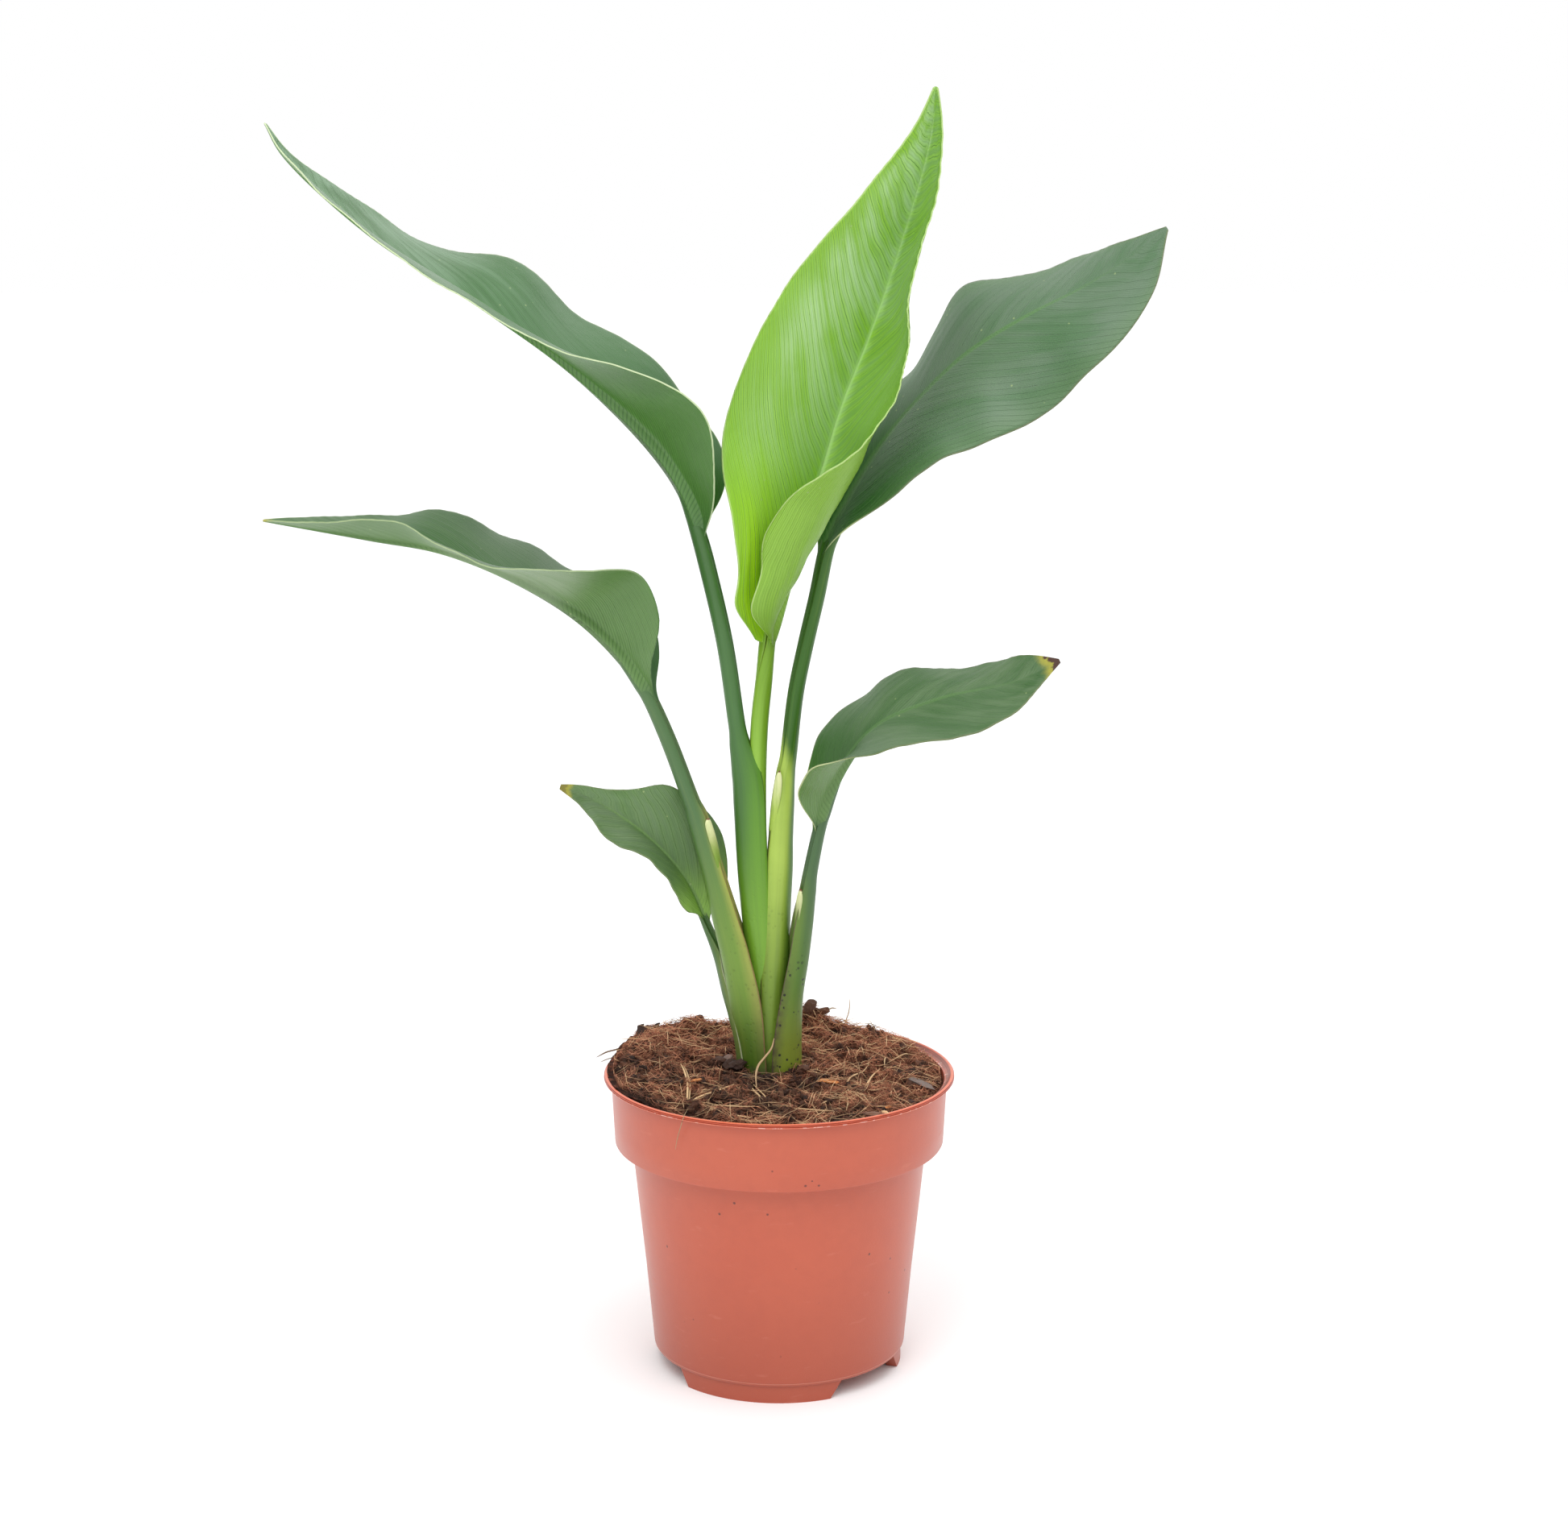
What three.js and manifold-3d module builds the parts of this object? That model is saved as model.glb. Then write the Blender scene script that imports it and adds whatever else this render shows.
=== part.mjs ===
// A young bird of paradise in a round plastic nursery pot: six leaves, each a blade on its own stalk, which
// rise from a short crown with thick fleshy roots in a bed of coir. Millimetres, +Z up. The origin is on the
// pot's axis at floor level, and the front is toward -Y.
import * as THREE from 'three';
import { mergeVertices } from 'three/addons/utils/BufferGeometryUtils.js';
import Module from 'manifold-3d';

const wasm = await Module();
wasm.setup();

// Driving dimensions
const gap = 0.3; // between two pieces that touch

const pot = {
  height: 103,
  sides: 48,
  wall: 1.3,
  lipRadius: 60,
  lipHeight: 2.6,
  bandTopRadius: 57.2,
  bandBottomRadius: 56,
  bandBottom: 78.8, // height of the band's sharp lower edge
  shoulderRadius: 49.7,
  baseRadius: 43.5,
  underside: 6, // height of the base between the feet
  padRadius: 20, // flat pad under the middle
  padHeight: 2,
  footOuterRadius: 42.4,
  footInnerRadius: 38.6,
  feet: 3,
  footSpan: 82, // degrees along the top of a foot
  footBevel: 2.5, // degrees that each end leans in toward the floor
  footFaces: 11,
  firstFoot: -101, // direction of the front foot's middle
  holes: 6,
  holeRadius: 4,
  holeCircle: 31,
};

const soil = {
  top: 99.8,
  rise: 5, // from the front to the back
  collar: 1.8, // mound round the stalks
  lumps: [{ x: 12, y: 44, height: 6.5, radius: 6 }, { x: -31, y: 37, height: 3, radius: 7 }],
  rings: 8,
  sides: 36,
  strands: 12,
  strandLength: 15,
  strandRadius: 0.6,
  seed: 7,
};

const crown = { x: -3.6, y: 6, top: 90.7, radius: 9.5, depth: 17 };

const roots = {
  count: 7,
  radius: 3.1,
  tipRadius: 1.2,
  reach: 36,
  lowest: 14,
  sides: 5,
  steps: 6,
};

// Each leaf. rib: points of the midrib from the top of the stalk to the tip. left and right: the two halves of
// the blade as rows of [place along the rib 0..1, width, direction at the rib, bend out to the margin], where a
// direction of 0 degrees points to the front and 90 degrees to the right-hand side of the rib's way.
// stalk: rows of [x, y, z, half length toward the keel, half width, wrap in degrees, openness of the sheath].
const leaves = {
  centre: {
    color: 0x86b83c, stalkColor: 0x8fb548, ribRadius: 2.8, stations: 22, across: 6, keel: 20, turnFrom: 0.8,
    rib: [[-4.4, 4, 250], [3.4, 9, 276], [14, 13, 307], [21, 13, 329], [30, 10, 352], [41, -1, 386],
      [48, -14, 414], [49, -24, 429]],
    left: [[0, 3, -52, 0], [0.04, 17, -47, -16], [0.08, 19.5, -40, -16], [0.16, 30, -37, -16],
      [0.26, 37.5, -49, -20], [0.34, 38.5, -56, -24], [0.5, 37.5, -55, -24], [0.6, 34.5, -55, -24],
      [0.7, 28.5, -52, -24], [0.8, 20, -49, -18], [0.92, 8.5, -52, -10], [1, 0.8, -50, 0]],
    right: [[0, 3, 45, 0], [0.03, 17, 23, -110], [0.08, 22, 32, -120], [0.12, 26.5, 48, -150],
      [0.16, 33, 51, -165], [0.22, 37, 61, -168], [0.28, 38.5, 64, -145], [0.34, 38.5, 61, -105],
      [0.4, 38, 44, -56], [0.5, 37, 43, -42], [0.6, 33, 43, -42], [0.65, 30, 34, -37], [0.7, 26, 28, -32],
      [0.75, 22.5, 30, -32], [0.8, 18.5, 35, -32], [0.9, 9, 44, -36], [1, 0.8, 40, 0]],
    stalk: [[-3.8, 6, 91, 2.6, 2.6, 152, 0], [-4.8, 6, 120, 2.8, 2.8, 152, 0], [-5.8, 6, 144, 3, 2.9, 152, 0],
      [-6.9, 6, 172, 3, 2.9, 152, 0], [-7.3, 6, 200, 3, 2.9, 152, 0], [-6.6, 5.8, 222, 3, 2.9, 152, 0],
      [-5, 5, 238, 2.9, 2.8, 152, 0]],
  },
  upper_left: {
    color: 0x4a7648, stalkColor: 0x6f9a50, ribRadius: 2.8, stations: 22, across: 5, keel: 180, turnFrom: 0.35,
    rib: [[-26, 4, 285], [-31, 2, 300], [-41, 0, 315], [-66, -4, 340], [-95, -7, 361], [-131, -7, 384],
      [-159, -3, 409], [-165, 0, 419]],
    left: [[0, 3, 20, 0], [0.02, 5.5, 42, -3], [0.05, 10, 43, -6], [0.1, 20.5, 39, -10],
      [0.18, 33.5, 47, -14], [0.26, 34, 39, -14], [0.32, 35.5, 27, -14], [0.4, 36, 15, -14],
      [0.5, 35, 9, -14], [0.65, 31, 8, -12], [0.8, 21, 10, -10], [0.92, 10, 12, -8], [1, 0.8, 12, 0]],
    right: [[0, 3, 135, 0], [0.02, 3.5, 121, 3], [0.05, 11.5, 118, 6], [0.1, 23, 130, 8],
      [0.18, 32, 144, 14], [0.26, 34.5, 141, 14], [0.33, 36, 148, 14], [0.4, 36, 154, 14],
      [0.45, 36, 150, 14], [0.5, 35.5, 144, 14], [0.55, 34.5, 146, 14], [0.6, 33, 154, 14],
      [0.65, 31, 161, 13], [0.7, 28, 163, 12], [0.75, 25, 163, 12], [0.8, 20.5, 162, 10],
      [0.92, 6.5, 156, 8], [1, 0.8, 158, 0]],
    stalk: [[-3.9, 6, 91, 4.4, 4.4, 140, 1], [-4.6, 6, 112, 4.9, 4.5, 140, 1], [-6.4, 6, 144, 5.3, 4.6, 140, 0.9],
      [-8.3, 6, 172, 5.9, 4.5, 140, 0.75], [-9.3, 6, 194, 6.1, 4.4, 140, 0.65], [-10.2, 6, 205, 5.8, 4, 140, 0.5],
      [-12.9, 6, 215, 3.9, 3.2, 148, 0.2], [-14.1, 6, 222, 3, 2.9, 152, 0], [-18.1, 5.5, 250, 2.9, 2.8, 152, 0],
      [-24.1, 4.5, 277, 2.9, 2.8, 152, 0]],
  },
  upper_right: {
    color: 0x487447, stalkColor: 0x6f9a50, ribRadius: 2.7, stations: 20, across: 5, keel: 0, turnFrom: 0.35,
    rib: [[15, 12, 279], [22, 14, 294], [38, 15.5, 319.5], [60, 12, 343.5], [81.5, 5, 358], [98.5, -1, 367],
      [112, -6, 376], [124.2, -9.8, 386]],
    left: [[0, 3, -110, 0], [0.04, 6, -108, -8], [0.12, 15, -112, -20], [0.22, 21, -120, -30],
      [0.34, 21, -138, -34], [0.4, 19.5, -142, -34], [0.46, 22.5, -137, -34], [0.5, 25.5, -132, -34],
      [0.56, 30.5, -125, -34], [0.62, 27, -130, -34], [0.7, 21.5, -137, -32], [0.8, 18.5, -138, -28],
      [0.86, 13, -138, -24], [0.92, 7.5, -136, -18], [1, 0.8, -140, 0]],
    right: [[0, 3, 5, 0], [0.04, 6.5, 12, 10], [0.08, 9, 21, 14], [0.12, 13, 29, 16], [0.2, 22.5, 25, 18],
      [0.26, 26, 23, 19], [0.32, 29.5, 23, 20], [0.4, 33.5, 30, 24], [0.5, 36, 35, 24], [0.55, 36, 41, 24],
      [0.6, 35.5, 44, 24], [0.65, 35, 44, 24], [0.7, 33.5, 42, 24], [0.75, 32, 38, 22], [0.8, 29, 38, 20],
      [0.92, 15.5, 43, 14], [1, 0.8, 42, 0]],
    stalk: [[-3.6, 6, 91, 6.1, 6.1, 120, 1], [-3.7, 6, 112, 6.3, 6.3, 112, 1], [-3.6, 6.3, 129, 6.1, 6, 117, 1],
      [-2, 6.6, 143, 5.5, 5.7, 137, 0.9], [-1.2, 7, 160, 5.3, 5.2, 139, 0.8], [-0.5, 7, 172, 5.2, 4.9, 140, 0.7],
      [0.1, 7, 183, 4.7, 4.5, 140, 0.5], [0.9, 7, 194, 4.3, 3.8, 142, 0.35], [2.1, 7, 205, 3.4, 3.1, 146, 0.15],
      [3.1, 7.2, 211, 2.9, 2.8, 150, 0], [5.7, 8, 233, 2.75, 2.7, 152, 0], [9.2, 9.5, 250, 2.75, 2.7, 152, 0],
      [12.7, 11, 265, 2.75, 2.7, 152, 0]],
  },
  middle_left: {
    color: 0x4a7648, stalkColor: 0x7da355, ribRadius: 2.6, stations: 20, across: 5, keel: 180, turnFrom: 0.35,
    rib: [[-42, 2, 230], [-52, 1, 245], [-67, -2, 260], [-88, -5, 273], [-111, -6, 282], [-134, -6, 286],
      [-169, -6, 292]],
    left: [[0, 3, 20, 0], [0.04, 4.5, 40, 0], [0.08, 9.5, 40, -4], [0.16, 26, 57, -12],
      [0.2, 29.5, 60, -13], [0.24, 31.5, 64, -14], [0.28, 32, 55, -15], [0.32, 31.5, 41, -16],
      [0.4, 30, 29, -14], [0.5, 28, 14, -14], [0.6, 25.5, 18, -12], [0.7, 21.5, 30, -10],
      [0.8, 16, 30, -10], [0.92, 7, 20, -6], [1, 0.8, 22, 0]],
    right: [[0, 3, 125, 0], [0.04, 5, 120, 4], [0.08, 12, 124, 8], [0.16, 24, 139, 12],
      [0.26, 29.5, 154, 14], [0.34, 30.5, 161, 14], [0.4, 30, 156, 14], [0.45, 29, 157, 14],
      [0.5, 27.5, 156, 14], [0.55, 26, 152, 14], [0.6, 25, 148, 14], [0.65, 23.5, 147, 13],
      [0.7, 21.5, 153, 12], [0.8, 16, 157, 10], [0.92, 7.5, 156, 8], [1, 0.8, 158, 0]],
    stalk: [[-4.4, 5.6, 91, 8.4, 8.2, 93, 1], [-4.8, 5.5, 107, 8.9, 8.1, 92, 1], [-7.3, 5, 124, 9.3, 7.5, 100, 0.95],
      [-12.6, 4, 142, 7.2, 6, 115, 0.7], [-16.5, 3.6, 153, 5.7, 4.8, 130, 0.5], [-22.3, 3.2, 173, 4.2, 3.6, 140, 0.3],
      [-27.4, 3, 191, 3.9, 3.1, 142, 0.2], [-29.4, 3, 196, 3, 2.8, 150, 0], [-37, 2.6, 217, 2.75, 2.7, 152, 0]],
  },
  low_right: {
    color: 0x4d7b47, stalkColor: 0x86a857, ribRadius: 2.2, stations: 18, across: 5, keel: 0, turnFrom: 0.35,
    rib: [[13, -3, 187], [20.3, -7, 207.5], [32, -11, 224], [53, -13, 234], [78, -14, 240], [92, -15, 247]],
    left: [[0, 2.4, -110, 0], [0.06, 5.5, -113, -10], [0.16, 12.5, -123, -20], [0.26, 18.5, -131, -24],
      [0.32, 19, -138, -25], [0.4, 19.5, -142, -26], [0.5, 20, -135, -26], [0.6, 18, -138, -24],
      [0.7, 14.5, -147, -22], [0.8, 14, -143, -20], [0.92, 8.5, -136, -12], [1, 0.8, -140, 0]],
    right: [[0, 2.4, -10, 0], [0.05, 6, -29, -30], [0.12, 13.5, -33, -30], [0.18, 18, -23, -30],
      [0.26, 20.5, -14, -30], [0.32, 21, 2, -24], [0.4, 22, 21, -20], [0.5, 20.5, 28, -16],
      [0.6, 21, 36, -12], [0.7, 19.5, 40, -12], [0.8, 16, 40, -12], [0.92, 6.5, 32, -8], [1, 0.8, 30, 0]],
    stalk: [[-1.2, 5.6, 91, 8.8, 8.6, 100, 1], [-1, 5.4, 103, 8.8, 8.6, 100, 1], [-0.4, 5, 112, 8.2, 8, 102, 0.95],
      [1.95, 3.8, 128, 6.35, 6.4, 105, 0.8], [5.3, 2.6, 142, 4.9, 5, 120, 0.55], [7.8, 1, 156, 4, 3.6, 135, 0.35],
      [9.6, -0.5, 166, 3, 2.7, 146, 0.15], [10.6, -1.3, 173, 2.5, 2.4, 152, 0]],
  },
  low_left: {
    color: 0x4d7b47, stalkColor: 0x7da355, ribRadius: 1.6, stations: 14, across: 4, keel: 165, turnFrom: 0.35,
    rib: [[-25, 12, 152], [-33, 10, 169], [-47, 8, 185], [-66, 6, 198], [-74, 5, 201]],
    left: [[0, 1.8, -25, 0], [0.06, 2.5, -34, 0], [0.12, 8, -26, -6], [0.25, 10.5, -16, -10],
      [0.45, 10, -13, -12], [0.52, 10.5, -19, -13], [0.6, 11, -30, -14], [0.7, 10.5, -40, -14],
      [0.8, 7, -40, -10], [0.92, 3.5, -44, 0], [1, 0.8, -45, 0]],
    right: [[0, 1.8, 75, 0], [0.06, 5.5, 80, 6], [0.12, 11, 84, 12], [0.2, 14.5, 84, 16],
      [0.32, 19.5, 84, 18], [0.42, 20.5, 84, 18], [0.6, 18.5, 82, 16], [0.7, 10.5, 81, 14],
      [0.8, 5.5, 83, 10], [0.92, 2.5, 88, 0], [1, 0.8, 90, 0]],
    stalk: [[-5, 7, 91, 9.8, 9.6, 60, 1], [-6, 7, 110, 9.3, 9.4, 55, 1], [-10.5, 7.8, 121, 7.3, 7, 60, 0.9],
      [-14.5, 8.6, 129, 5.5, 5, 75, 0.7], [-17.8, 9.2, 137, 4, 3.8, 95, 0.4], [-20.9, 9.8, 143, 2.6, 2.4, 140, 0.1],
      [-23.4, 10.8, 148, 1.9, 1.8, 150, 0]],
  },
};

const lamina = 0.7; // thickness of a blade away from its rib
const sheathWall = 1.3; // thickness of a sheath away from its keel
const ribLift = 0.45; // how far the groove over the rib lies toward the upper face, in rib radii
const stalkSides = 8; // segments round a stalk's outside
const plugSides = 20; // segments round the hole for a stalk
const stalkSteps = 2; // sections from one stalk row to the next

const toFront = new THREE.Vector3(0, -1, 0);
const radians = THREE.MathUtils.degToRad;

// A smooth curve through rows of numbers, read at place s on their first column.
function readRows(rows, s) {
  let i = 0;
  while (i < rows.length - 2 && s > rows[i + 1][0]) i += 1;
  const slope = (k, c) => (rows[k + 1][c] - rows[k][c]) / (rows[k + 1][0] - rows[k][0]);
  const tangent = (k, c) => {
    if (k === 0) return slope(0, c);
    if (k === rows.length - 1) return slope(k - 1, c);
    const before = slope(k - 1, c);
    const after = slope(k, c);
    return before * after <= 0 ? 0 : (2 * before * after) / (before + after);
  };
  const h = rows[i + 1][0] - rows[i][0];
  const u = THREE.MathUtils.clamp((s - rows[i][0]) / h, 0, 1);
  const values = [];
  for (let c = 1; c < rows[i].length; c += 1) {
    values.push((2 * u ** 3 - 3 * u ** 2 + 1) * rows[i][c] + (u ** 3 - 2 * u ** 2 + u) * h * tangent(i, c)
      + (3 * u ** 2 - 2 * u ** 3) * rows[i + 1][c] + (u ** 3 - u ** 2) * h * tangent(i + 1, c));
  }
  return values;
}

// A closed body between two grids of points of the same size, the first of which faces outwards.
function slab(outer, inner) {
  const rows = outer.length;
  const columns = outer[0].length;
  const positions = [...outer.flat(), ...inner.flat()].flatMap((p) => [p.x, p.y, p.z]);
  const at = (side, i, j) => side * rows * columns + i * columns + j;
  const index = [];
  const quad = (a, b, c, d) => index.push(a, b, c, a, c, d);
  for (let i = 0; i < rows - 1; i += 1) {
    for (let j = 0; j < columns - 1; j += 1) {
      quad(at(0, i, j), at(0, i, j + 1), at(0, i + 1, j + 1), at(0, i + 1, j));
      index.push(at(1, i, j), at(1, i + 1, j + 1), at(1, i, j + 1));
      index.push(at(1, i, j), at(1, i + 1, j), at(1, i + 1, j + 1));
    }
    const last = columns - 1;
    quad(at(0, i, last), at(1, i, last), at(1, i + 1, last), at(0, i + 1, last));
    quad(at(0, i, 0), at(0, i + 1, 0), at(1, i + 1, 0), at(1, i, 0));
  }
  for (let j = 0; j < columns - 1; j += 1) {
    quad(at(0, 0, j), at(1, 0, j), at(1, 0, j + 1), at(0, 0, j + 1));
    quad(at(0, rows - 1, j), at(0, rows - 1, j + 1), at(1, rows - 1, j + 1), at(1, rows - 1, j));
  }
  const geometry = new THREE.BufferGeometry();
  geometry.setAttribute('position', new THREE.Float32BufferAttribute(positions, 3));
  geometry.setIndex(index);
  return geometry;
}

// The rib's own directions at place t: along it, to the front and to its right-hand side.
function ribFrame(curve, t) {
  const along = curve.getTangentAt(t);
  const front = toFront.clone().addScaledVector(along, -toFront.dot(along)).normalize();
  return { at: curve.getPointAt(t), along, front, side: along.clone().cross(front) };
}

function turned(frame, degrees) {
  const a = radians(degrees);
  return frame.front.clone().multiplyScalar(Math.cos(a)).addScaledVector(frame.side, Math.sin(a));
}

// Point at share u of a half's width, on an arc that starts in one direction and bends.
function onHalf(frame, start, [width, direction, bend], u) {
  const a = radians(direction);
  const k = Math.abs(bend) < 0.1 ? 0.002 : radians(bend);
  const front = (width * (Math.sin(a + k * u) - Math.sin(a))) / k;
  const side = (width * (Math.cos(a) - Math.cos(a + k * u))) / k;
  return start.clone().addScaledVector(frame.front, front).addScaledVector(frame.side, side);
}

function upperDirection(leaf, frame, t) {
  const left = readRows(leaf.left, t)[1];
  const right = readRows(leaf.right, t)[1];
  return turned(frame, (left + right) / 2);
}

// Places across a half: the rib takes the first two, and the rest are even.
function placesAcross(count, width, ribRadius) {
  const first = Math.min((0.6 * ribRadius) / width, 0.35);
  const second = Math.min((1.2 * ribRadius) / width, 0.7);
  const places = [0, first, second];
  for (let j = 3; j <= count; j += 1) places.push(second + ((1 - second) * (j - 2)) / (count - 2));
  return places;
}

function blade(leaf) {
  const curve = new THREE.CatmullRomCurve3(leaf.rib.map((p) => new THREE.Vector3(...p)), false, 'centripetal');
  const upper = [];
  const thickness = [];
  const ways = [];
  for (let i = 0; i <= leaf.stations; i += 1) {
    const even = i / leaf.stations;
    const t = 0.5 * even + 0.25 * (1 - Math.cos(Math.PI * even));
    const frame = ribFrame(curve, t);
    const ribRadius = THREE.MathUtils.lerp(leaf.ribRadius, 0.35, Math.sqrt(t) * 0.5 + t * 0.5);
    const up = upperDirection(leaf, frame, t);
    const start = frame.at.addScaledVector(up, ribLift * ribRadius);
    const row = [];
    const thick = [];
    for (const [half, order] of [[leaf.left, -1], [leaf.right, 1]]) {
      const values = readRows(half, t);
      const places = placesAcross(leaf.across, values[0], ribRadius);
      const points = places.map((u) => onHalf(frame, start, values, u));
      const depths = places.map((u) => {
        const inRib = 1 - Math.min((u * values[0]) / (1.25 * ribRadius), 1) ** 2;
        return lamina + Math.max(0, 1.45 * ribRadius - lamina) * inRib;
      });
      if (order < 0) {
        row.push(...points.reverse());
        thick.push(...depths.reverse());
      } else {
        row.push(...points.slice(1));
        thick.push(...depths.slice(1));
      }
    }
    upper.push(row);
    thickness.push(thick);
    ways.push(frame.along);
  }
  const last = upper.length - 1;
  const lower = upper.map((row, i) => row.map((p, j) => {
    const across = row[Math.min(j + 1, row.length - 1)].clone().sub(row[Math.max(j - 1, 0)]);
    const inside = i > 0 && i < last;
    const along = inside ? upper[i + 1][j].clone().sub(upper[i - 1][j]) : ways[i];
    const normal = across.cross(along).normalize();
    return p.clone().addScaledVector(normal, -thickness[i][j]);
  }));
  return slab(upper, lower);
}

// Rows of a stalk from its foot to its top, where it meets the blade face to face.
function stalkRows(leaf) {
  const curve = new THREE.CatmullRomCurve3(leaf.rib.map((p) => new THREE.Vector3(...p)), false, 'centripetal');
  const frame = ribFrame(curve, 0);
  const end = frame.at.clone().addScaledVector(frame.along, -gap);
  const rows = [...leaf.stalk, [end.x, end.y, end.z, leaf.ribRadius, leaf.ribRadius, 152, 0]];
  return { rows, topAlong: frame.along, topKeel: upperDirection(leaf, frame, 0).negate() };
}

// The stalk's body. grow widens it all round, and plug makes it a full oval up to a height.
function stalk(leaf, grow = 0, plugTop = 0) {
  const { rows, topAlong, topKeel } = stalkRows(leaf);
  const curve = new THREE.CatmullRomCurve3(rows.map((r) => new THREE.Vector3(r[0], r[1], r[2])), false, 'centripetal');
  const sections = rows.map((r, i) => [i, ...r.slice(3)]);
  const footKeel = new THREE.Vector3(Math.cos(radians(leaf.keel)), Math.sin(radians(leaf.keel)), 0);
  const outer = [];
  const inner = [];
  const steps = (rows.length - 1) * stalkSteps;
  for (let i = 0; i <= steps; i += 1) {
    const s = i / stalkSteps;
    const t = i / steps;
    const centre = curve.getPoint(t);
    const along = i === steps ? topAlong.clone() : curve.getTangent(t);
    if (plugTop && centre.z > plugTop) break;
    if (plugTop && i === 0) centre.addScaledVector(along, -2 * grow);
    const keel = footKeel.clone().lerp(topKeel, THREE.MathUtils.smoothstep(t, leaf.turnFrom, 1));
    keel.addScaledVector(along, -keel.dot(along)).normalize();
    const side = along.clone().cross(keel);
    let [toKeel, halfWidth, wrap, open] = readRows(sections, s);
    toKeel += grow;
    halfWidth += grow;
    if (plugTop) wrap = 176;
    if (plugTop) open = 0;
    const wall = sheathWall + 2 * grow;
    const onArc = (v, inset) => {
      const a = radians(wrap + (grow * 60) / toKeel) * v;
      return centre.clone().addScaledVector(keel, (toKeel - inset) * Math.cos(a))
        .addScaledVector(side, (halfWidth - inset) * Math.sin(a));
    };
    const outerRow = [];
    const innerRow = [];
    const sides = plugTop ? plugSides : stalkSides;
    for (let j = 0; j <= sides; j += 1) {
      const v = (2 * j) / sides - 1;
      outerRow.push(onArc(v, 0));
      const edge = 0.55 + 0.45 * Math.sqrt(1 - v * v);
      const arc = onArc(v, wall * edge);
      const chord = onArc(-1, wall * 0.55).lerp(onArc(1, wall * 0.55), (v + 1) / 2);
      chord.addScaledVector(keel, (plugTop ? 0 : 0.2) * halfWidth * (1 - v * v));
      innerRow.push(chord.lerp(arc, open));
    }
    outer.push(outerRow);
    inner.push(innerRow);
  }
  return slab(outer, inner);
}

function toManifold(geometry) {
  const bare = geometry.clone();
  bare.deleteAttribute('normal');
  bare.deleteAttribute('uv');
  const merged = mergeVertices(bare, 1e-4);
  return new wasm.Manifold(new wasm.Mesh({
    numProp: 3,
    vertProperties: new Float32Array(merged.attributes.position.array),
    triVerts: new Uint32Array(merged.index.array),
  }));
}

function toGeometry(manifold) {
  const mesh = manifold.getMesh();
  const geometry = new THREE.BufferGeometry();
  geometry.setAttribute('position', new THREE.BufferAttribute(new Float32Array(mesh.vertProperties), 3));
  geometry.setIndex(new THREE.BufferAttribute(new Uint32Array(mesh.triVerts), 1));
  return geometry;
}

// The largest piece of a cut body, without loose scraps.
function mainPiece(manifold) {
  return manifold.decompose().sort((a, b) => b.volume() - a.volume())[0];
}

const turnedLathe = (profile, sides) => new THREE.LatheGeometry(
  profile.map(([r, z]) => new THREE.Vector2(r, z)), sides).rotateX(Math.PI / 2);

function potGeometry() {
  const p = pot;
  const lipTop = p.height;
  const lipBottom = p.height - p.lipHeight;
  const profile = [
    [0, p.padHeight], [p.padRadius, p.padHeight], [p.padRadius + 4, p.underside], [p.baseRadius, p.underside],
    [p.shoulderRadius, p.bandBottom + 0.4], [p.bandBottomRadius, p.bandBottom], [p.bandTopRadius, lipBottom],
    [p.lipRadius - 0.4, lipBottom + 0.2], [p.lipRadius, lipBottom + 0.8], [p.lipRadius - 0.2, lipTop - 0.4],
    [p.lipRadius - 0.8, lipTop], [p.lipRadius - 2.4, lipTop], [p.bandTopRadius - p.wall, lipTop - 0.8],
    [p.bandBottomRadius - p.wall, p.bandBottom + p.wall + 0.4],
    [p.shoulderRadius - p.wall, p.bandBottom + p.wall + 0.2], [p.baseRadius - p.wall, p.underside + p.wall],
    [p.padRadius + 3, p.underside + p.wall], [p.padRadius - 1, p.padHeight + p.wall], [0, p.padHeight + p.wall],
  ];
  let body = toManifold(turnedLathe(profile, p.sides));
  for (let i = 0; i < p.feet; i += 1) {
    const middle = p.firstFoot + (i * 360) / p.feet;
    const wallOfFoot = (radius) => [0, p.underside + 0.6].map((z) => {
      const half = p.footSpan / 2 - (z === 0 ? p.footBevel : 0);
      return Array.from({ length: p.footFaces + 1 }, (_, j) => {
        const a = radians(middle + half * ((2 * j) / p.footFaces - 1));
        return new THREE.Vector3(radius * Math.cos(a), radius * Math.sin(a), z);
      });
    });
    body = body.add(toManifold(slab(wallOfFoot(p.footOuterRadius), wallOfFoot(p.footInnerRadius))));
  }
  for (let i = 0; i < p.holes; i += 1) {
    const a = (i * 2 * Math.PI) / p.holes;
    const hole = new THREE.CylinderGeometry(p.holeRadius, p.holeRadius, 4 * p.wall, 10).rotateX(Math.PI / 2);
    hole.translate(p.holeCircle * Math.cos(a), p.holeCircle * Math.sin(a), p.underside + p.wall / 2);
    body = body.subtract(toManifold(hole));
  }
  return toGeometry(body);
}

// A repeatable stream of numbers from 0 to 1.
function seeded(seed) {
  let state = seed;
  return () => {
    state = (state * 16807) % 2147483647;
    return state / 2147483647;
  };
}

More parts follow.
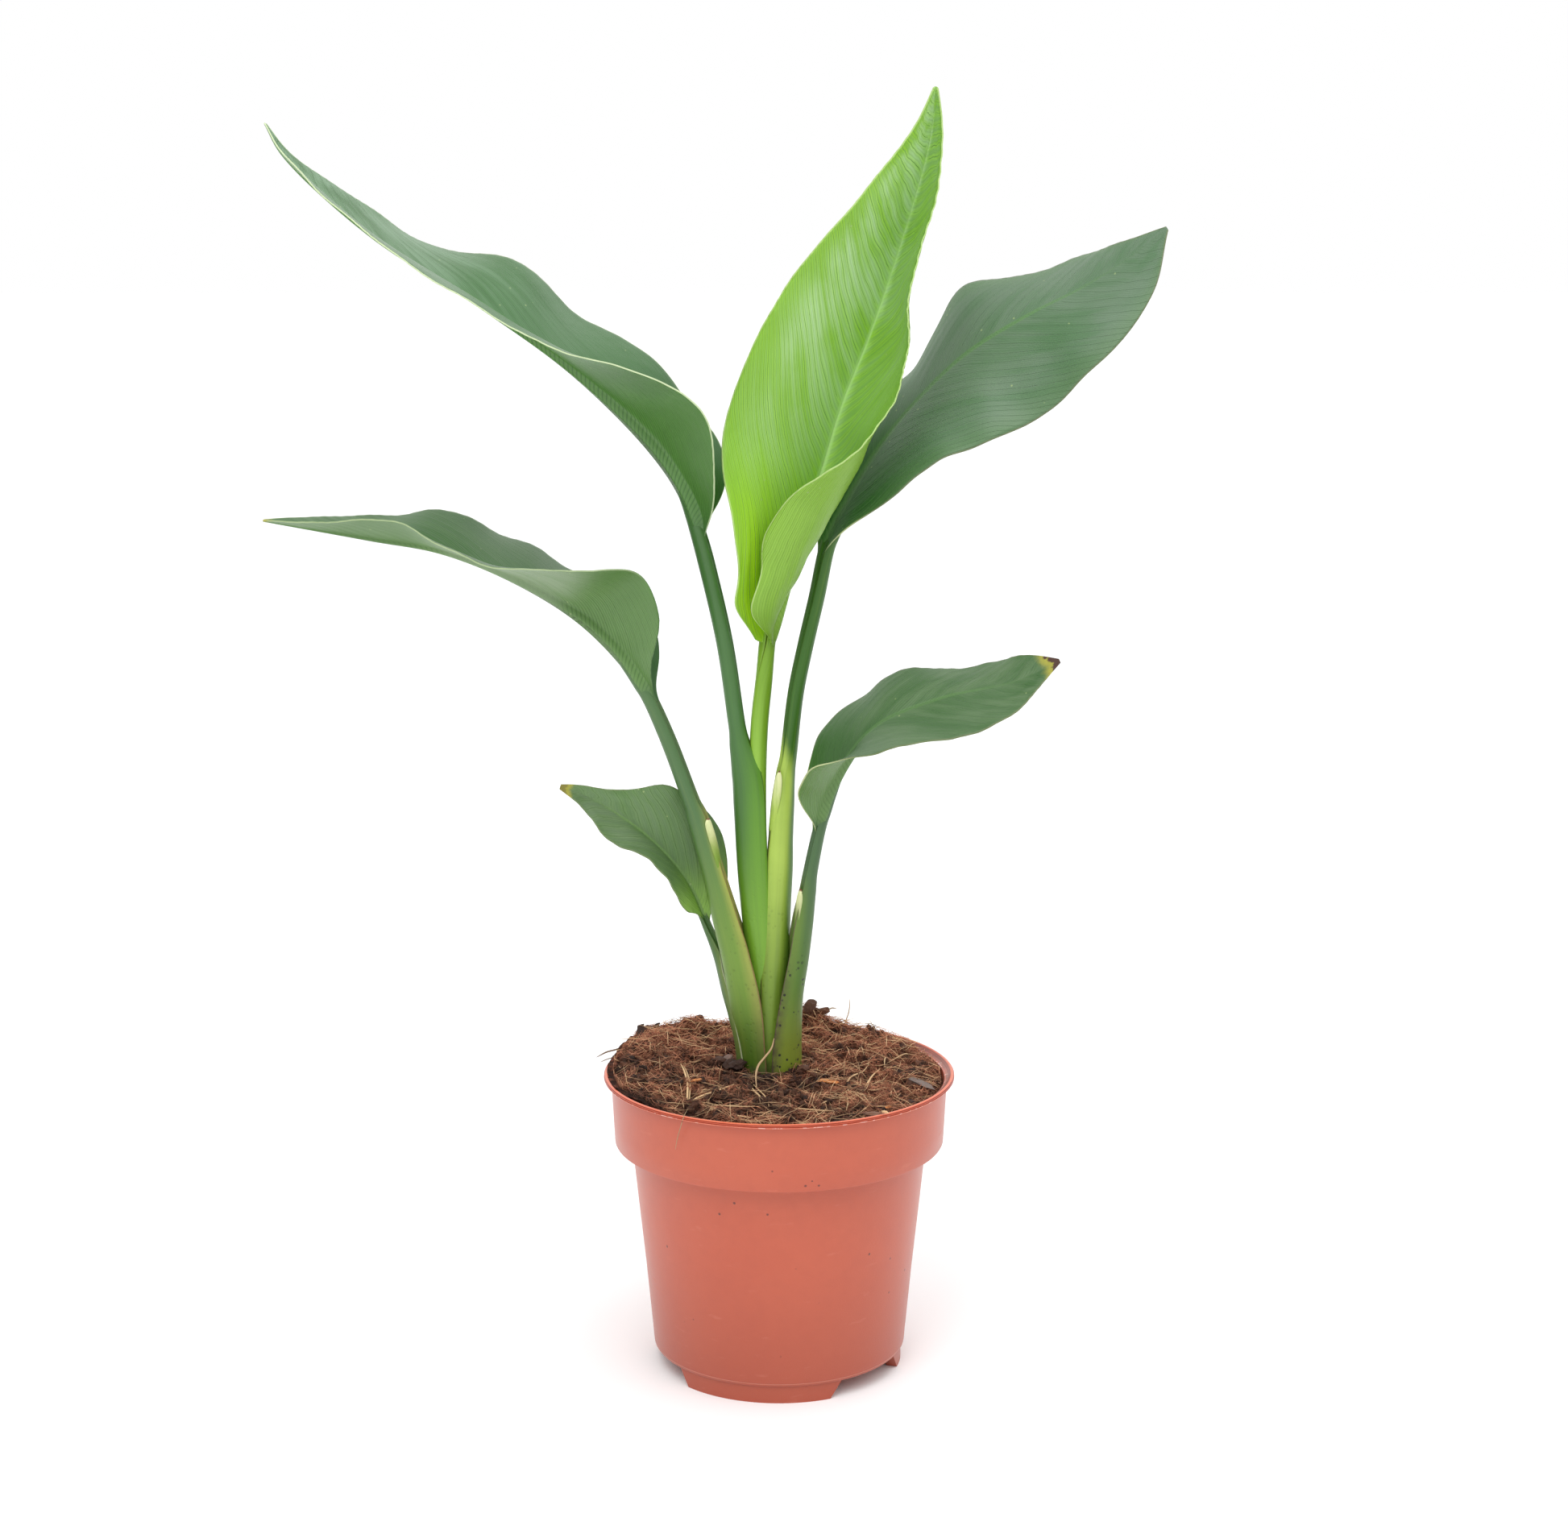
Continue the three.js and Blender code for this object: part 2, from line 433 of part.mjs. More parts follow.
// Height of the soil's surface: higher at the back, a low mound round the stalks, two lumps, and small waves.
function soilHeight(x, y) {
  const mound = (middle, height, radius) => height * Math.exp(
    -((Math.hypot(x - middle.x, y - middle.y) / radius) ** 2));
  const edge = THREE.MathUtils.smoothstep(Math.hypot(x, y), 46, 55);
  const waves = 0.9 * Math.sin(0.31 * x + 0.9) * Math.cos(0.27 * y) + 0.6 * Math.sin(0.63 * y + 0.41 * x);
  let height = soil.top + soil.rise * THREE.MathUtils.smoothstep(y, -10, 45) + mound(crown, soil.collar, 20);
  for (const lump of soil.lumps) height += mound(lump, lump.height, lump.radius);
  return height + waves * (1 - 0.5 * edge) - 1.2 * edge;
}

// A tapered round body along a curve, closed at both ends.
function tapered(points, radiusAt, sides, steps) {
  const curve = new THREE.CatmullRomCurve3(points, false, 'centripetal');
  const frames = curve.computeFrenetFrames(steps, false);
  const rings = [];
  for (let i = 0; i <= steps; i += 1) {
    const centre = curve.getPointAt(i / steps);
    const radius = radiusAt(i / steps);
    rings.push(Array.from({ length: sides }, (_, j) => {
      const a = (j * 2 * Math.PI) / sides;
      return centre.clone().addScaledVector(frames.normals[i], radius * Math.cos(a))
        .addScaledVector(frames.binormals[i], radius * Math.sin(a));
    }));
  }
  const positions = rings.flat().flatMap((p) => [p.x, p.y, p.z]);
  const index = [];
  for (let i = 0; i < steps; i += 1) {
    for (let j = 0; j < sides; j += 1) {
      const a = i * sides + j;
      const b = i * sides + ((j + 1) % sides);
      index.push(a, b, b + sides, a, b + sides, a + sides);
    }
  }
  const end = steps * sides;
  for (let j = 1; j < sides - 1; j += 1) {
    index.push(0, j + 1, j);
    index.push(end, end + j, end + j + 1);
  }
  const geometry = new THREE.BufferGeometry();
  geometry.setAttribute('position', new THREE.Float32BufferAttribute(positions, 3));
  geometry.setIndex(index);
  return geometry;
}

// The short crown that all the stalks rise from, with its fleshy roots. grow widens it to make its bed.
function crownAndRoots(grow) {
  const c = crown;
  const profile = [[0, c.top - c.depth - grow], [0.55 * c.radius + grow, c.top - 0.8 * c.depth],
    [c.radius + grow, c.top - 0.35 * c.depth], [c.radius - 1 + grow, c.top + grow], [0, c.top + grow]];
  let body = toManifold(turnedLathe(profile, 14).translate(c.x, c.y, 0));
  for (let i = 0; i < roots.count; i += 1) {
    const a = (i * 2 * Math.PI) / roots.count + 0.4 * Math.sin(3 * i);
    const reach = roots.reach * (0.75 + 0.25 * Math.cos(2.3 * i));
    const bottom = roots.lowest + 8 * (1 + Math.sin(1.7 * i));
    const out = (share, z) => new THREE.Vector3(
      c.x * (1 - share) + reach * share * Math.cos(a), c.y * (1 - share) + reach * share * Math.sin(a), z);
    const points = [out(0, c.top - 0.5 * c.depth), out(0.45, c.top - c.depth - 2), out(0.9, 50), out(1, 34),
      out(0.85, bottom - grow)];
    const radiusAt = (t) => THREE.MathUtils.lerp(roots.radius, roots.tipRadius, t) + grow;
    body = body.add(toManifold(tapered(points, radiusAt, roots.sides, roots.steps)));
  }
  return body;
}

function soilGeometry(stalkPlugs) {
  const p = pot;
  const clear = p.wall + gap;
  const wallProfile = [[p.padRadius - 1.2, p.padHeight + clear], [p.padRadius + 2.8, p.underside + clear],
    [p.baseRadius - clear - 0.1, p.underside + clear], [p.shoulderRadius - clear - 0.1, p.bandBottom + 1.2],
    [p.shoulderRadius - clear, p.bandBottom + clear + 0.6], [p.bandBottomRadius - clear, p.bandBottom + clear + 0.8]];
  const edgeRadius = p.bandTopRadius - clear - 0.3;
  const positions = [0, 0, p.padHeight + clear];
  const ring = (radius, heightAt) => {
    for (let j = 0; j < soil.sides; j += 1) {
      const a = (j * 2 * Math.PI) / soil.sides;
      const x = radius * Math.cos(a);
      const y = radius * Math.sin(a);
      positions.push(x, y, heightAt(x, y));
    }
  };
  for (const [r, z] of wallProfile) ring(r, () => z);
  for (let i = 0; i < soil.rings; i += 1) ring(edgeRadius * (1 - i / soil.rings), soilHeight);
  positions.push(0, 0, soilHeight(0, 0));
  const index = [];
  const rings = wallProfile.length + soil.rings;
  const at = (i, j) => 1 + i * soil.sides + (j % soil.sides);
  for (let j = 0; j < soil.sides; j += 1) {
    index.push(0, at(0, j + 1), at(0, j));
    for (let i = 0; i < rings - 1; i += 1) {
      index.push(at(i, j), at(i, j + 1), at(i + 1, j + 1), at(i, j), at(i + 1, j + 1), at(i + 1, j));
    }
    index.push(at(rings - 1, j), at(rings - 1, j + 1), 1 + rings * soil.sides);
  }
  const geometry = new THREE.BufferGeometry();
  geometry.setAttribute('position', new THREE.Float32BufferAttribute(positions, 3));
  geometry.setIndex(index);
  let body = toManifold(geometry);
  const random = seeded(soil.seed);
  for (let i = 0; i < soil.strands; i += 1) {
    const a = random() * 2 * Math.PI;
    const r = 16 + 34 * Math.sqrt(random());
    const heading = random() * 2 * Math.PI;
    const x = r * Math.cos(a);
    const y = r * Math.sin(a);
    const length = soil.strandLength * (0.6 + 0.7 * random());
    const bow = 0.3 + 0.9 * random();
    const point = (u) => {
      const px = x + (u - 0.5) * length * Math.cos(heading) + bow * Math.sin(4 * u);
      const py = y + (u - 0.5) * length * Math.sin(heading);
      const inside = Math.min(1, 52 / Math.hypot(px, py));
      return new THREE.Vector3(px * inside, py * inside,
        soilHeight(px * inside, py * inside) + bow * Math.sin(Math.PI * u) - 0.35 - 1.4 * (2 * u - 1) ** 4);
    };
    const radiusAt = (t) => soil.strandRadius * (1 - 0.5 * t);
    body = body.add(toManifold(tapered([0, 0.33, 0.66, 1].map(point), radiusAt, 3, 4)));
  }
  for (const plug of stalkPlugs) body = body.subtract(plug);
  return toGeometry(mainPiece(body.subtract(crownAndRoots(gap))));
}

const colors = { pot: 0xcd6c55, soil: 0x4a3021, roots: 0xcbb58a };
const plant = new THREE.Group();

function addPiece(name, geometry, color, roughness) {
  const mesh = new THREE.Mesh(geometry, new THREE.MeshStandardMaterial({ color, roughness, metalness: 0 }));
  mesh.name = name;
  plant.add(mesh);
}

addPiece('pot', potGeometry(), colors.pot, 0.55);

// Each sheath is cut by the younger stalks inside it, so the order runs from the youngest leaf to the oldest.
const younger = [];
for (const [name, leaf] of Object.entries(leaves)) {
  let body = toManifold(stalk(leaf));
  for (const cutter of younger) body = body.subtract(cutter);
  younger.push(toManifold(stalk(leaf, 1.25 * gap)));
  addPiece(`${name}_stalk`, toGeometry(mainPiece(body)), leaf.stalkColor, 0.5);
  addPiece(`${name}_blade`, blade(leaf), leaf.color, 0.45);
}

const plugs = Object.values(leaves).map((leaf) => toManifold(stalk(leaf, 1.25 * gap, 118)));
addPiece('soil', soilGeometry(plugs), colors.soil, 0.95);
addPiece('crown_and_roots', toGeometry(crownAndRoots(0)), colors.roots, 0.8);

export default plant;
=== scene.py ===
import math

import bmesh
import bpy
import numpy as np
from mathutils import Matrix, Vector, noise


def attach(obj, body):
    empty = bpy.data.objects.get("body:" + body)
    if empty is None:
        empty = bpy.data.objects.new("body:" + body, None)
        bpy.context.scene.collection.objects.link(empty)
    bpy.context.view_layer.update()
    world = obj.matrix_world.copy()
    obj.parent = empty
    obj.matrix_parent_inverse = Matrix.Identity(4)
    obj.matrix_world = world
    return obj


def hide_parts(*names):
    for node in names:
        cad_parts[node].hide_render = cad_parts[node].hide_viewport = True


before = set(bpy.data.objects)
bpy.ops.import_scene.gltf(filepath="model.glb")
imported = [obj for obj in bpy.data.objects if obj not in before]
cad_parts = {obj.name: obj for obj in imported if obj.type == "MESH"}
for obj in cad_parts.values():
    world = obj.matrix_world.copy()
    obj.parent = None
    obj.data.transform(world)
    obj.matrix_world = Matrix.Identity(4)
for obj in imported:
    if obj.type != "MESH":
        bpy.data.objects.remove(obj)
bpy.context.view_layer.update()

# Sizes are in millimetres until a mesh is made. The pot stands on z = 0 with its axis at the origin,
# and the front of the plant is toward -y.
metre = 0.001


def tone(red, green, blue):
    # a colour read in the usual 0 to 255 steps, as linear values
    linear = []
    for part in (red / 255, green / 255, blue / 255):
        linear.append(part / 12.92 if part <= 0.04045 else ((part + 0.055) / 1.055) ** 2.4)
    return (*linear, 1.0)


class Wire:
    # a node's output that can be used in sums; each sum adds one Math node
    def __init__(self, bench, socket):
        self.bench = bench
        self.socket = socket

    def __add__(self, other):
        return self.bench.math("ADD", self, other)

    def __radd__(self, other):
        return self.bench.math("ADD", other, self)

    def __sub__(self, other):
        return self.bench.math("SUBTRACT", self, other)

    def __rsub__(self, other):
        return self.bench.math("SUBTRACT", other, self)

    def __mul__(self, other):
        return self.bench.math("MULTIPLY", self, other)

    def __rmul__(self, other):
        return self.bench.math("MULTIPLY", other, self)

    def __truediv__(self, other):
        return self.bench.math("DIVIDE", self, other)

    def __rtruediv__(self, other):
        return self.bench.math("DIVIDE", other, self)

    def __abs__(self):
        return self.bench.math("ABSOLUTE", self)

    def rise(self, low, high):
        # 0 at low and 1 at high, eased; low may be the larger of the two
        return self.bench.add("ShaderNodeMapRange", {"interpolation_type": "SMOOTHSTEP"},
                              {"Value": self, "From Min": low, "From Max": high})


class Bench:
    # makes nodes in one tree
    def __init__(self, tree):
        self.tree = tree

    def add(self, kind, settings=None, sockets=None, output=0):
        node = self.tree.nodes.new(kind)
        for key, value in (settings or {}).items():
            if key == "stops":
                ramp = node.color_ramp
                while len(ramp.elements) < len(value):
                    ramp.elements.new(1.0)
                for element, (place, colour) in zip(ramp.elements, value):
                    element.position = place
                    element.color = colour
            else:
                setattr(node, key, value)
        for key, value in (sockets or {}).items():
            if isinstance(value, Wire):
                self.tree.links.new(value.socket, node.inputs[key])
            else:
                node.inputs[key].default_value = value
        return Wire(self, node.outputs[output]) if node.outputs else None

    def math(self, operation, *values):
        return self.add("ShaderNodeMath", {"operation": operation}, dict(enumerate(values)))

    def vector(self, operation, *values, output=0):
        return self.add("ShaderNodeVectorMath", {"operation": operation}, dict(enumerate(values)), output)

    def blend(self, share, first, second):
        # two colours mixed, share 0 is the first
        return self.add("ShaderNodeMix", {"data_type": "RGBA", "clamp_factor": True},
                        {0: share, 6: first, 7: second}, 2)

    def layers(self, colour, *coats):
        # a colour under coats, each with the share that it covers
        for share, coat in coats:
            colour = self.blend(share, colour, coat)
        return colour

    def value(self, name):
        # a number stored on the mesh
        return self.add("ShaderNodeAttribute", {"attribute_name": name}, output="Fac")

    def place(self):
        return self.add("ShaderNodeTexCoord", output="Object")

    def join(self, x, y, z):
        return self.add("ShaderNodeCombineXYZ", sockets={0: x, 1: y, 2: z})

    def axis(self, where, name):
        return self.add("ShaderNodeSeparateXYZ", sockets={0: where}, output=name)

    def cloud(self, where, scale, detail=3.0, roughness=0.55):
        return self.add("ShaderNodeTexNoise", sockets={
            "Vector": where, "Scale": scale, "Detail": detail, "Roughness": roughness}, output="Fac")

    def cells(self, where, scale):
        # how far the nearest of some scattered points is
        return self.add("ShaderNodeTexVoronoi", {}, {"Vector": where, "Scale": scale}, "Distance")

    def waves(self, where, every, shift=0.0):
        return self.math("SINE", where * (2 * math.pi / every) + shift)


def newMaterial(name):
    material = bpy.data.materials.new(name)
    material.use_nodes = True
    material.node_tree.nodes.clear()
    return material, Bench(material.node_tree)


def surface(bench, colour, roughness, bump, bumpDepth, fixed):
    # the shader itself; fixed holds the values that are the same all over
    normal = bench.add("ShaderNodeBump", sockets={"Height": bump, "Distance": bumpDepth, "Strength": 1.0})
    shader = bench.add("ShaderNodeBsdfPrincipled", sockets={
        "Base Color": colour, "Roughness": roughness, "Normal": normal, **fixed})
    bench.add("ShaderNodeOutputMaterial", sockets={"Surface": shader})


def makePiece(name, points, faces, flat=(), values=None):
    # a mesh object at the origin; flat lists the faces that keep hard edges
    mesh = bpy.data.meshes.new(name)
    mesh.from_pydata((np.asarray(points, float) * metre).tolist(), [], faces)
    smooth = np.ones(len(mesh.polygons), bool)
    smooth[list(flat)] = False
    mesh.polygons.foreach_set("use_smooth", smooth)
    for key, numbers in (values or {}).items():
        layer = mesh.attributes.new(key, "FLOAT", "POINT")
        layer.data.foreach_set("value", np.asarray(numbers, np.float32).ravel())
    mesh.update()
    piece = bpy.data.objects.new(name, mesh)
    bpy.context.scene.collection.objects.link(piece)
    return piece


def dress(piece, material, slot, *nodes):
    piece.data.materials.clear()
    piece.data.materials.append(material)
    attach(piece, "root")
    if nodes:
        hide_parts(*nodes)


def slab(outer, inner):
    # faces of a closed body between two grids of the same size; the rim's faces come last
    rows, columns = outer.shape[:2]
    over, under = np.arange(2 * rows * columns).reshape(2, rows, columns)
    faces = []
    for i in range(rows - 1):
        for j in range(columns - 1):
            faces.append([over[i, j], over[i, j + 1], over[i + 1, j + 1], over[i + 1, j]])
            faces.append([under[i, j], under[i + 1, j], under[i + 1, j + 1], under[i, j + 1]])
    rimStart = len(faces)
    for i in range(rows - 1):
        faces.append([over[i, -1], under[i, -1], under[i + 1, -1], over[i + 1, -1]])
        faces.append([over[i, 0], over[i + 1, 0], under[i + 1, 0], under[i, 0]])
    for j in range(columns - 1):
        faces.append([over[0, j], under[0, j], under[0, j + 1], over[0, j + 1]])
        faces.append([over[-1, j], over[-1, j + 1], under[-1, j + 1], under[-1, j]])
    points = np.concatenate([outer.reshape(-1, 3), inner.reshape(-1, 3)])
    return points, np.array(faces).tolist(), range(rimStart, len(faces))


def readRows(rows, places):
    # smooth curves through rows of numbers, read at places on their first column
    table = np.asarray(rows, float)
    spots = table[:, 0]
    values = table[:, 1:]
    slopes = np.diff(values, axis=0) / np.diff(spots)[:, None]
    tangents = np.zeros_like(values)
    tangents[0] = slopes[0]
    tangents[-1] = slopes[-1]
    before, after = slopes[:-1], slopes[1:]
    total = np.where(before * after > 0, before + after, 1.0)
    tangents[1:-1] = np.where(before * after > 0, 2 * before * after / total, 0.0)
    i = np.clip(np.searchsorted(spots, places, side="right") - 1, 0, len(spots) - 2)
    width = (spots[i + 1] - spots[i])[:, None]
    u = np.clip((places - spots[i])[:, None] / width, 0, 1)
    return ((2 * u**3 - 3 * u**2 + 1) * values[i] + (u**3 - 2 * u**2 + u) * width * tangents[i]
            + (3 * u**2 - 2 * u**3) * values[i + 1] + (u**3 - u**2) * width * tangents[i + 1])


def spline(points, steps):
    # a centripetal curve through points, with the given steps from one to the next
    p = np.asarray(points, float)
    p = np.vstack([2 * p[0] - p[1], p, 2 * p[-1] - p[-2]])
    out = []
    for i in range(1, len(p) - 2):
        a, b, c, d = p[i - 1:i + 3]
        tb = np.linalg.norm(b - a) ** 0.5
        tc = tb + np.linalg.norm(c - b) ** 0.5
        td = tc + np.linalg.norm(d - c) ** 0.5
        last = i == len(p) - 3
        for share in np.linspace(0, 1, steps + last, endpoint=last):
            t = tb + (tc - tb) * share
            ab = (tb - t) / tb * a + t / tb * b
            bc = (tc - t) / (tc - tb) * b + (t - tb) / (tc - tb) * c
            cd = (td - t) / (td - tc) * c + (t - tc) / (td - tc) * d
            abc = (tc - t) / tc * ab + t / tc * bc
            bcd = (td - t) / (td - tb) * bc + (t - tb) / (td - tb) * cd
            out.append((tc - t) / (tc - tb) * abc + (t - tb) / (tc - tb) * bcd)
    return np.array(out)


def unit(vectors):
    return vectors / np.linalg.norm(vectors, axis=-1, keepdims=True)


def ease(x, low, high):
    u = np.clip((x - low) / (high - low), 0, 1)
    return u * u * (3 - 2 * u)


# rib: points of the midrib from the top of the stalk to the tip. left and right: the halves of the blade as
# rows of place along the rib, width, direction at the rib and bend out to the margin; 0 degrees points to the
# front and 90 to the right-hand side of the rib's way. stalk: rows of x, y, z, half length toward the keel,
# half width, wrap and openness of the sheath. keel: the side of the plant that the stalk's back faces, which
# turns to the blade from turnFrom up. lean: how far the veins run back along the rib on
# their way out. neck and footSize are as in stalkShape and bladeShape.
leaves = {
    "centre": {
        "ribRadius": 2.8, "keel": 20, "turnFrom": 0.8, "pleat": 0.16, "pleatEvery": 8.5, "lean": (0.85, 0.03),
        "footSize": 0.9, "neck": ((3.0, 1.0, 176), (8.0, 1.0, 150), (14.0, 0.92, 120), (21.0, 0.7, 104)),
        "rib": [[-4.4, 4, 250], [3.4, 9, 276], [14, 13, 307], [21, 13, 329], [30, 10, 352], [41, -1, 386],
                [48, -14, 414], [49, -24, 429]],
        "left": [[0, 5, -52, 0], [0.015, 9, -50, -6], [0.04, 17, -47, -16], [0.08, 19.5, -40, -16],
                 [0.16, 30, -37, -16], [0.26, 37.5, -49, -20], [0.34, 38.5, -56, -24], [0.5, 37.5, -55, -24],
                 [0.6, 34.5, -55, -24], [0.7, 28.5, -52, -24], [0.8, 20, -49, -18], [0.92, 8.5, -52, -10],
                 [1, 0.8, -50, 0]],
        "right": [[0, 3, 45, 0], [0.03, 17, 23, -110], [0.08, 22, 32, -120], [0.12, 26.5, 48, -150],
                  [0.16, 33, 51, -165], [0.22, 37, 61, -168], [0.28, 38.5, 64, -145],
                  [0.34, 38.5, 61, -105], [0.4, 38, 44, -56], [0.5, 37, 43, -42], [0.6, 33, 43, -42],
                  [0.65, 30, 34, -37], [0.7, 26, 28, -32], [0.75, 22.5, 30, -32], [0.8, 18.5, 35, -32],
                  [0.9, 9, 44, -36], [1, 0.8, 40, 0]],
        "stalk": [[-3.8, 6, 91, 2.6, 2.6, 180, 0], [-4.8, 6, 120, 2.8, 2.8, 180, 0],
                  [-5.8, 6, 144, 3, 2.9, 180, 0], [-6.9, 6, 172, 3, 2.9, 180, 0],
                  [-7.3, 6, 200, 3, 2.9, 180, 0], [-6.6, 5.8, 222, 3, 2.9, 180, 0],
                  [-5, 5, 238, 2.9, 2.8, 180, 0]],
    },
    "upper_left": {
        "ribRadius": 2.8, "keel": 180, "turnFrom": 0.35, "pleat": 0.05, "pleatEvery": 7, "lean": (1.3, 0.035),
        "rib": [[-26, 4, 285], [-31, 2, 300], [-41, 0, 315], [-66, -4, 340], [-95, -7, 361], [-131, -7, 384],
                [-159, -3, 409], [-165, 0, 419]],
        "left": [[0, 3, 20, 0], [0.02, 5.5, 42, -3], [0.05, 10, 43, -6], [0.1, 20.5, 39, -10],
                 [0.18, 33.5, 47, -14], [0.26, 34, 39, -14], [0.32, 35.5, 27, -14], [0.4, 36, 15, -14],
                 [0.5, 35, 9, -14], [0.65, 31, 8, -12], [0.8, 21, 10, -10], [0.92, 10, 12, -8],
                 [1, 0.8, 12, 0]],
        "right": [[0, 3, 135, 0], [0.02, 3.5, 121, 3], [0.05, 11.5, 118, 6], [0.1, 23, 130, 8],
                  [0.18, 32, 144, 14], [0.26, 34.5, 141, 14], [0.33, 36, 148, 14], [0.4, 36, 154, 14],
                  [0.45, 36, 150, 14], [0.5, 35.5, 144, 14], [0.55, 34.5, 146, 14], [0.6, 33, 154, 14],
                  [0.65, 31, 161, 13], [0.7, 28, 163, 12], [0.75, 25, 163, 12], [0.8, 20.5, 162, 10],
                  [0.92, 6.5, 156, 8], [1, 0.8, 158, 0]],
        "stalk": [[-3.9, 6, 91, 4.4, 4.4, 140, 1], [-4.6, 6, 112, 4.9, 4.5, 140, 1],
                  [-6.4, 6, 144, 5.3, 4.6, 140, 0.9], [-8.3, 6, 172, 5.9, 4.5, 140, 0.75],
                  [-9.3, 6, 194, 6.1, 4.4, 140, 0.65], [-10.2, 6, 205, 5.8, 4, 140, 0.5],
                  [-12.9, 6, 215, 3.9, 3.2, 148, 0.2], [-14.1, 6, 222, 3, 2.9, 152, 0],
                  [-18.1, 5.5, 250, 2.9, 2.8, 152, 0], [-24.1, 4.5, 277, 2.9, 2.8, 152, 0]],
    },
    "upper_right": {
        "ribRadius": 2.7, "keel": 0, "turnFrom": 0.35, "pleat": 0.05, "pleatEvery": 8, "lean": (1.2, 0.03),
        "rib": [[15, 12, 279], [22, 14, 294], [38, 15.5, 319.5], [60, 12, 343.5], [81.5, 5, 358],
                [98.5, -1, 367], [112, -6, 376], [124.2, -9.8, 386]],
        "left": [[0, 3, -110, 0], [0.04, 6, -108, -8], [0.12, 15, -112, -20], [0.22, 21, -120, -30],
                 [0.34, 21, -138, -34], [0.4, 19.5, -142, -34], [0.46, 22.5, -137, -34],
                 [0.5, 25.5, -132, -34], [0.56, 30.5, -125, -34], [0.62, 27, -130, -34],
                 [0.7, 21.5, -137, -32], [0.8, 18.5, -138, -28], [0.86, 13, -138, -24],
                 [0.92, 7.5, -136, -18], [1, 0.8, -140, 0]],
        "right": [[0, 3, 5, 0], [0.04, 6.5, 12, 10], [0.08, 9, 21, 14], [0.12, 13, 29, 16],
                  [0.2, 22.5, 25, 18], [0.26, 26, 23, 19], [0.32, 29.5, 23, 20], [0.4, 33.5, 30, 24],
                  [0.5, 36, 35, 24], [0.55, 36, 41, 24], [0.6, 35.5, 44, 24], [0.65, 35, 44, 24],
                  [0.7, 33.5, 42, 24], [0.75, 32, 38, 22], [0.8, 29, 38, 20], [0.92, 15.5, 43, 14],
                  [1, 0.8, 42, 0]],
        "stalk": [[-3.6, 6, 91, 6.1, 6.1, 120, 1], [-3.7, 6, 112, 6.3, 6.3, 112, 1],
                  [-3.6, 6.3, 129, 6.1, 6, 117, 1], [-2, 6.6, 143, 5.5, 5.7, 137, 0.9],
                  [-1.2, 7, 160, 5.3, 5.2, 139, 0.8], [-0.5, 7, 172, 5.2, 4.9, 140, 0.7],
                  [0.1, 7, 183, 4.7, 4.5, 140, 0.5], [0.9, 7, 194, 4.3, 3.8, 142, 0.35],
                  [2.1, 7, 205, 3.4, 3.1, 146, 0.15], [3.1, 7.2, 211, 2.9, 2.8, 150, 0],
                  [5.7, 8, 233, 2.75, 2.7, 152, 0], [9.2, 9.5, 250, 2.75, 2.7, 152, 0],
                  [12.7, 11, 265, 2.75, 2.7, 152, 0]],
    },
    "middle_left": {
        "ribRadius": 2.6, "keel": 180, "turnFrom": 0.35, "pleat": 0.05, "pleatEvery": 7, "lean": (1.3, 0.035),
        "rib": [[-42, 2, 230], [-52, 1, 245], [-67, -2, 260], [-88, -5, 273], [-111, -6, 282],
                [-134, -6, 286], [-169, -6, 292]],
        "left": [[0, 3, 20, 0], [0.04, 4.5, 40, 0], [0.08, 9.5, 40, -4], [0.16, 26, 57, -12],
                 [0.2, 29.5, 60, -13], [0.24, 31.5, 64, -14], [0.28, 32, 55, -15], [0.32, 31.5, 41, -16],
                 [0.4, 30, 29, -14], [0.5, 28, 14, -14], [0.6, 25.5, 18, -12], [0.7, 21.5, 30, -10],
                 [0.8, 16, 30, -10], [0.92, 7, 20, -6], [1, 0.8, 22, 0]],
        "right": [[0, 3, 125, 0], [0.04, 5, 120, 4], [0.08, 12, 124, 8], [0.16, 24, 139, 12],
                  [0.26, 29.5, 154, 14], [0.34, 30.5, 161, 14], [0.4, 30, 156, 14], [0.45, 29, 157, 14],
                  [0.5, 27.5, 156, 14], [0.55, 26, 152, 14], [0.6, 25, 148, 14], [0.65, 23.5, 147, 13],
                  [0.7, 21.5, 153, 12], [0.8, 16, 157, 10], [0.92, 7.5, 156, 8], [1, 0.8, 158, 0]],
        "stalk": [[-4.4, 5.6, 91, 8.4, 8.2, 93, 1], [-4.8, 5.5, 107, 8.9, 8.1, 92, 1],
                  [-7.3, 5, 124, 9.3, 7.5, 100, 0.95], [-12.6, 4, 142, 7.2, 6, 115, 0.7],
                  [-16.5, 3.6, 153, 5.7, 4.8, 130, 0.5], [-22.3, 3.2, 173, 4.2, 3.6, 140, 0.3],
                  [-27.4, 3, 191, 3.9, 3.1, 142, 0.2], [-29.4, 3, 196, 3, 2.8, 150, 0],
                  [-37, 2.6, 217, 2.75, 2.7, 152, 0]],
    },
    "low_right": {
        "ribRadius": 2.2, "keel": 0, "turnFrom": 0.35, "pleat": 0.06, "pleatEvery": 7, "lean": (1.3, 0.035),
        "rib": [[13, -3, 187], [20.3, -7, 207.5], [32, -11, 224], [53, -13, 234], [78, -14, 240],
                [92, -15, 247]],
        "left": [[0, 2.4, -110, 0], [0.06, 5.5, -113, -10], [0.16, 12.5, -123, -20],
                 [0.26, 18.5, -131, -24], [0.32, 19, -138, -25], [0.4, 19.5, -142, -26],
                 [0.5, 20, -135, -26], [0.6, 18, -138, -24], [0.7, 14.5, -147, -22], [0.8, 14, -143, -20],
                 [0.92, 8.5, -136, -12], [1, 0.8, -140, 0]],
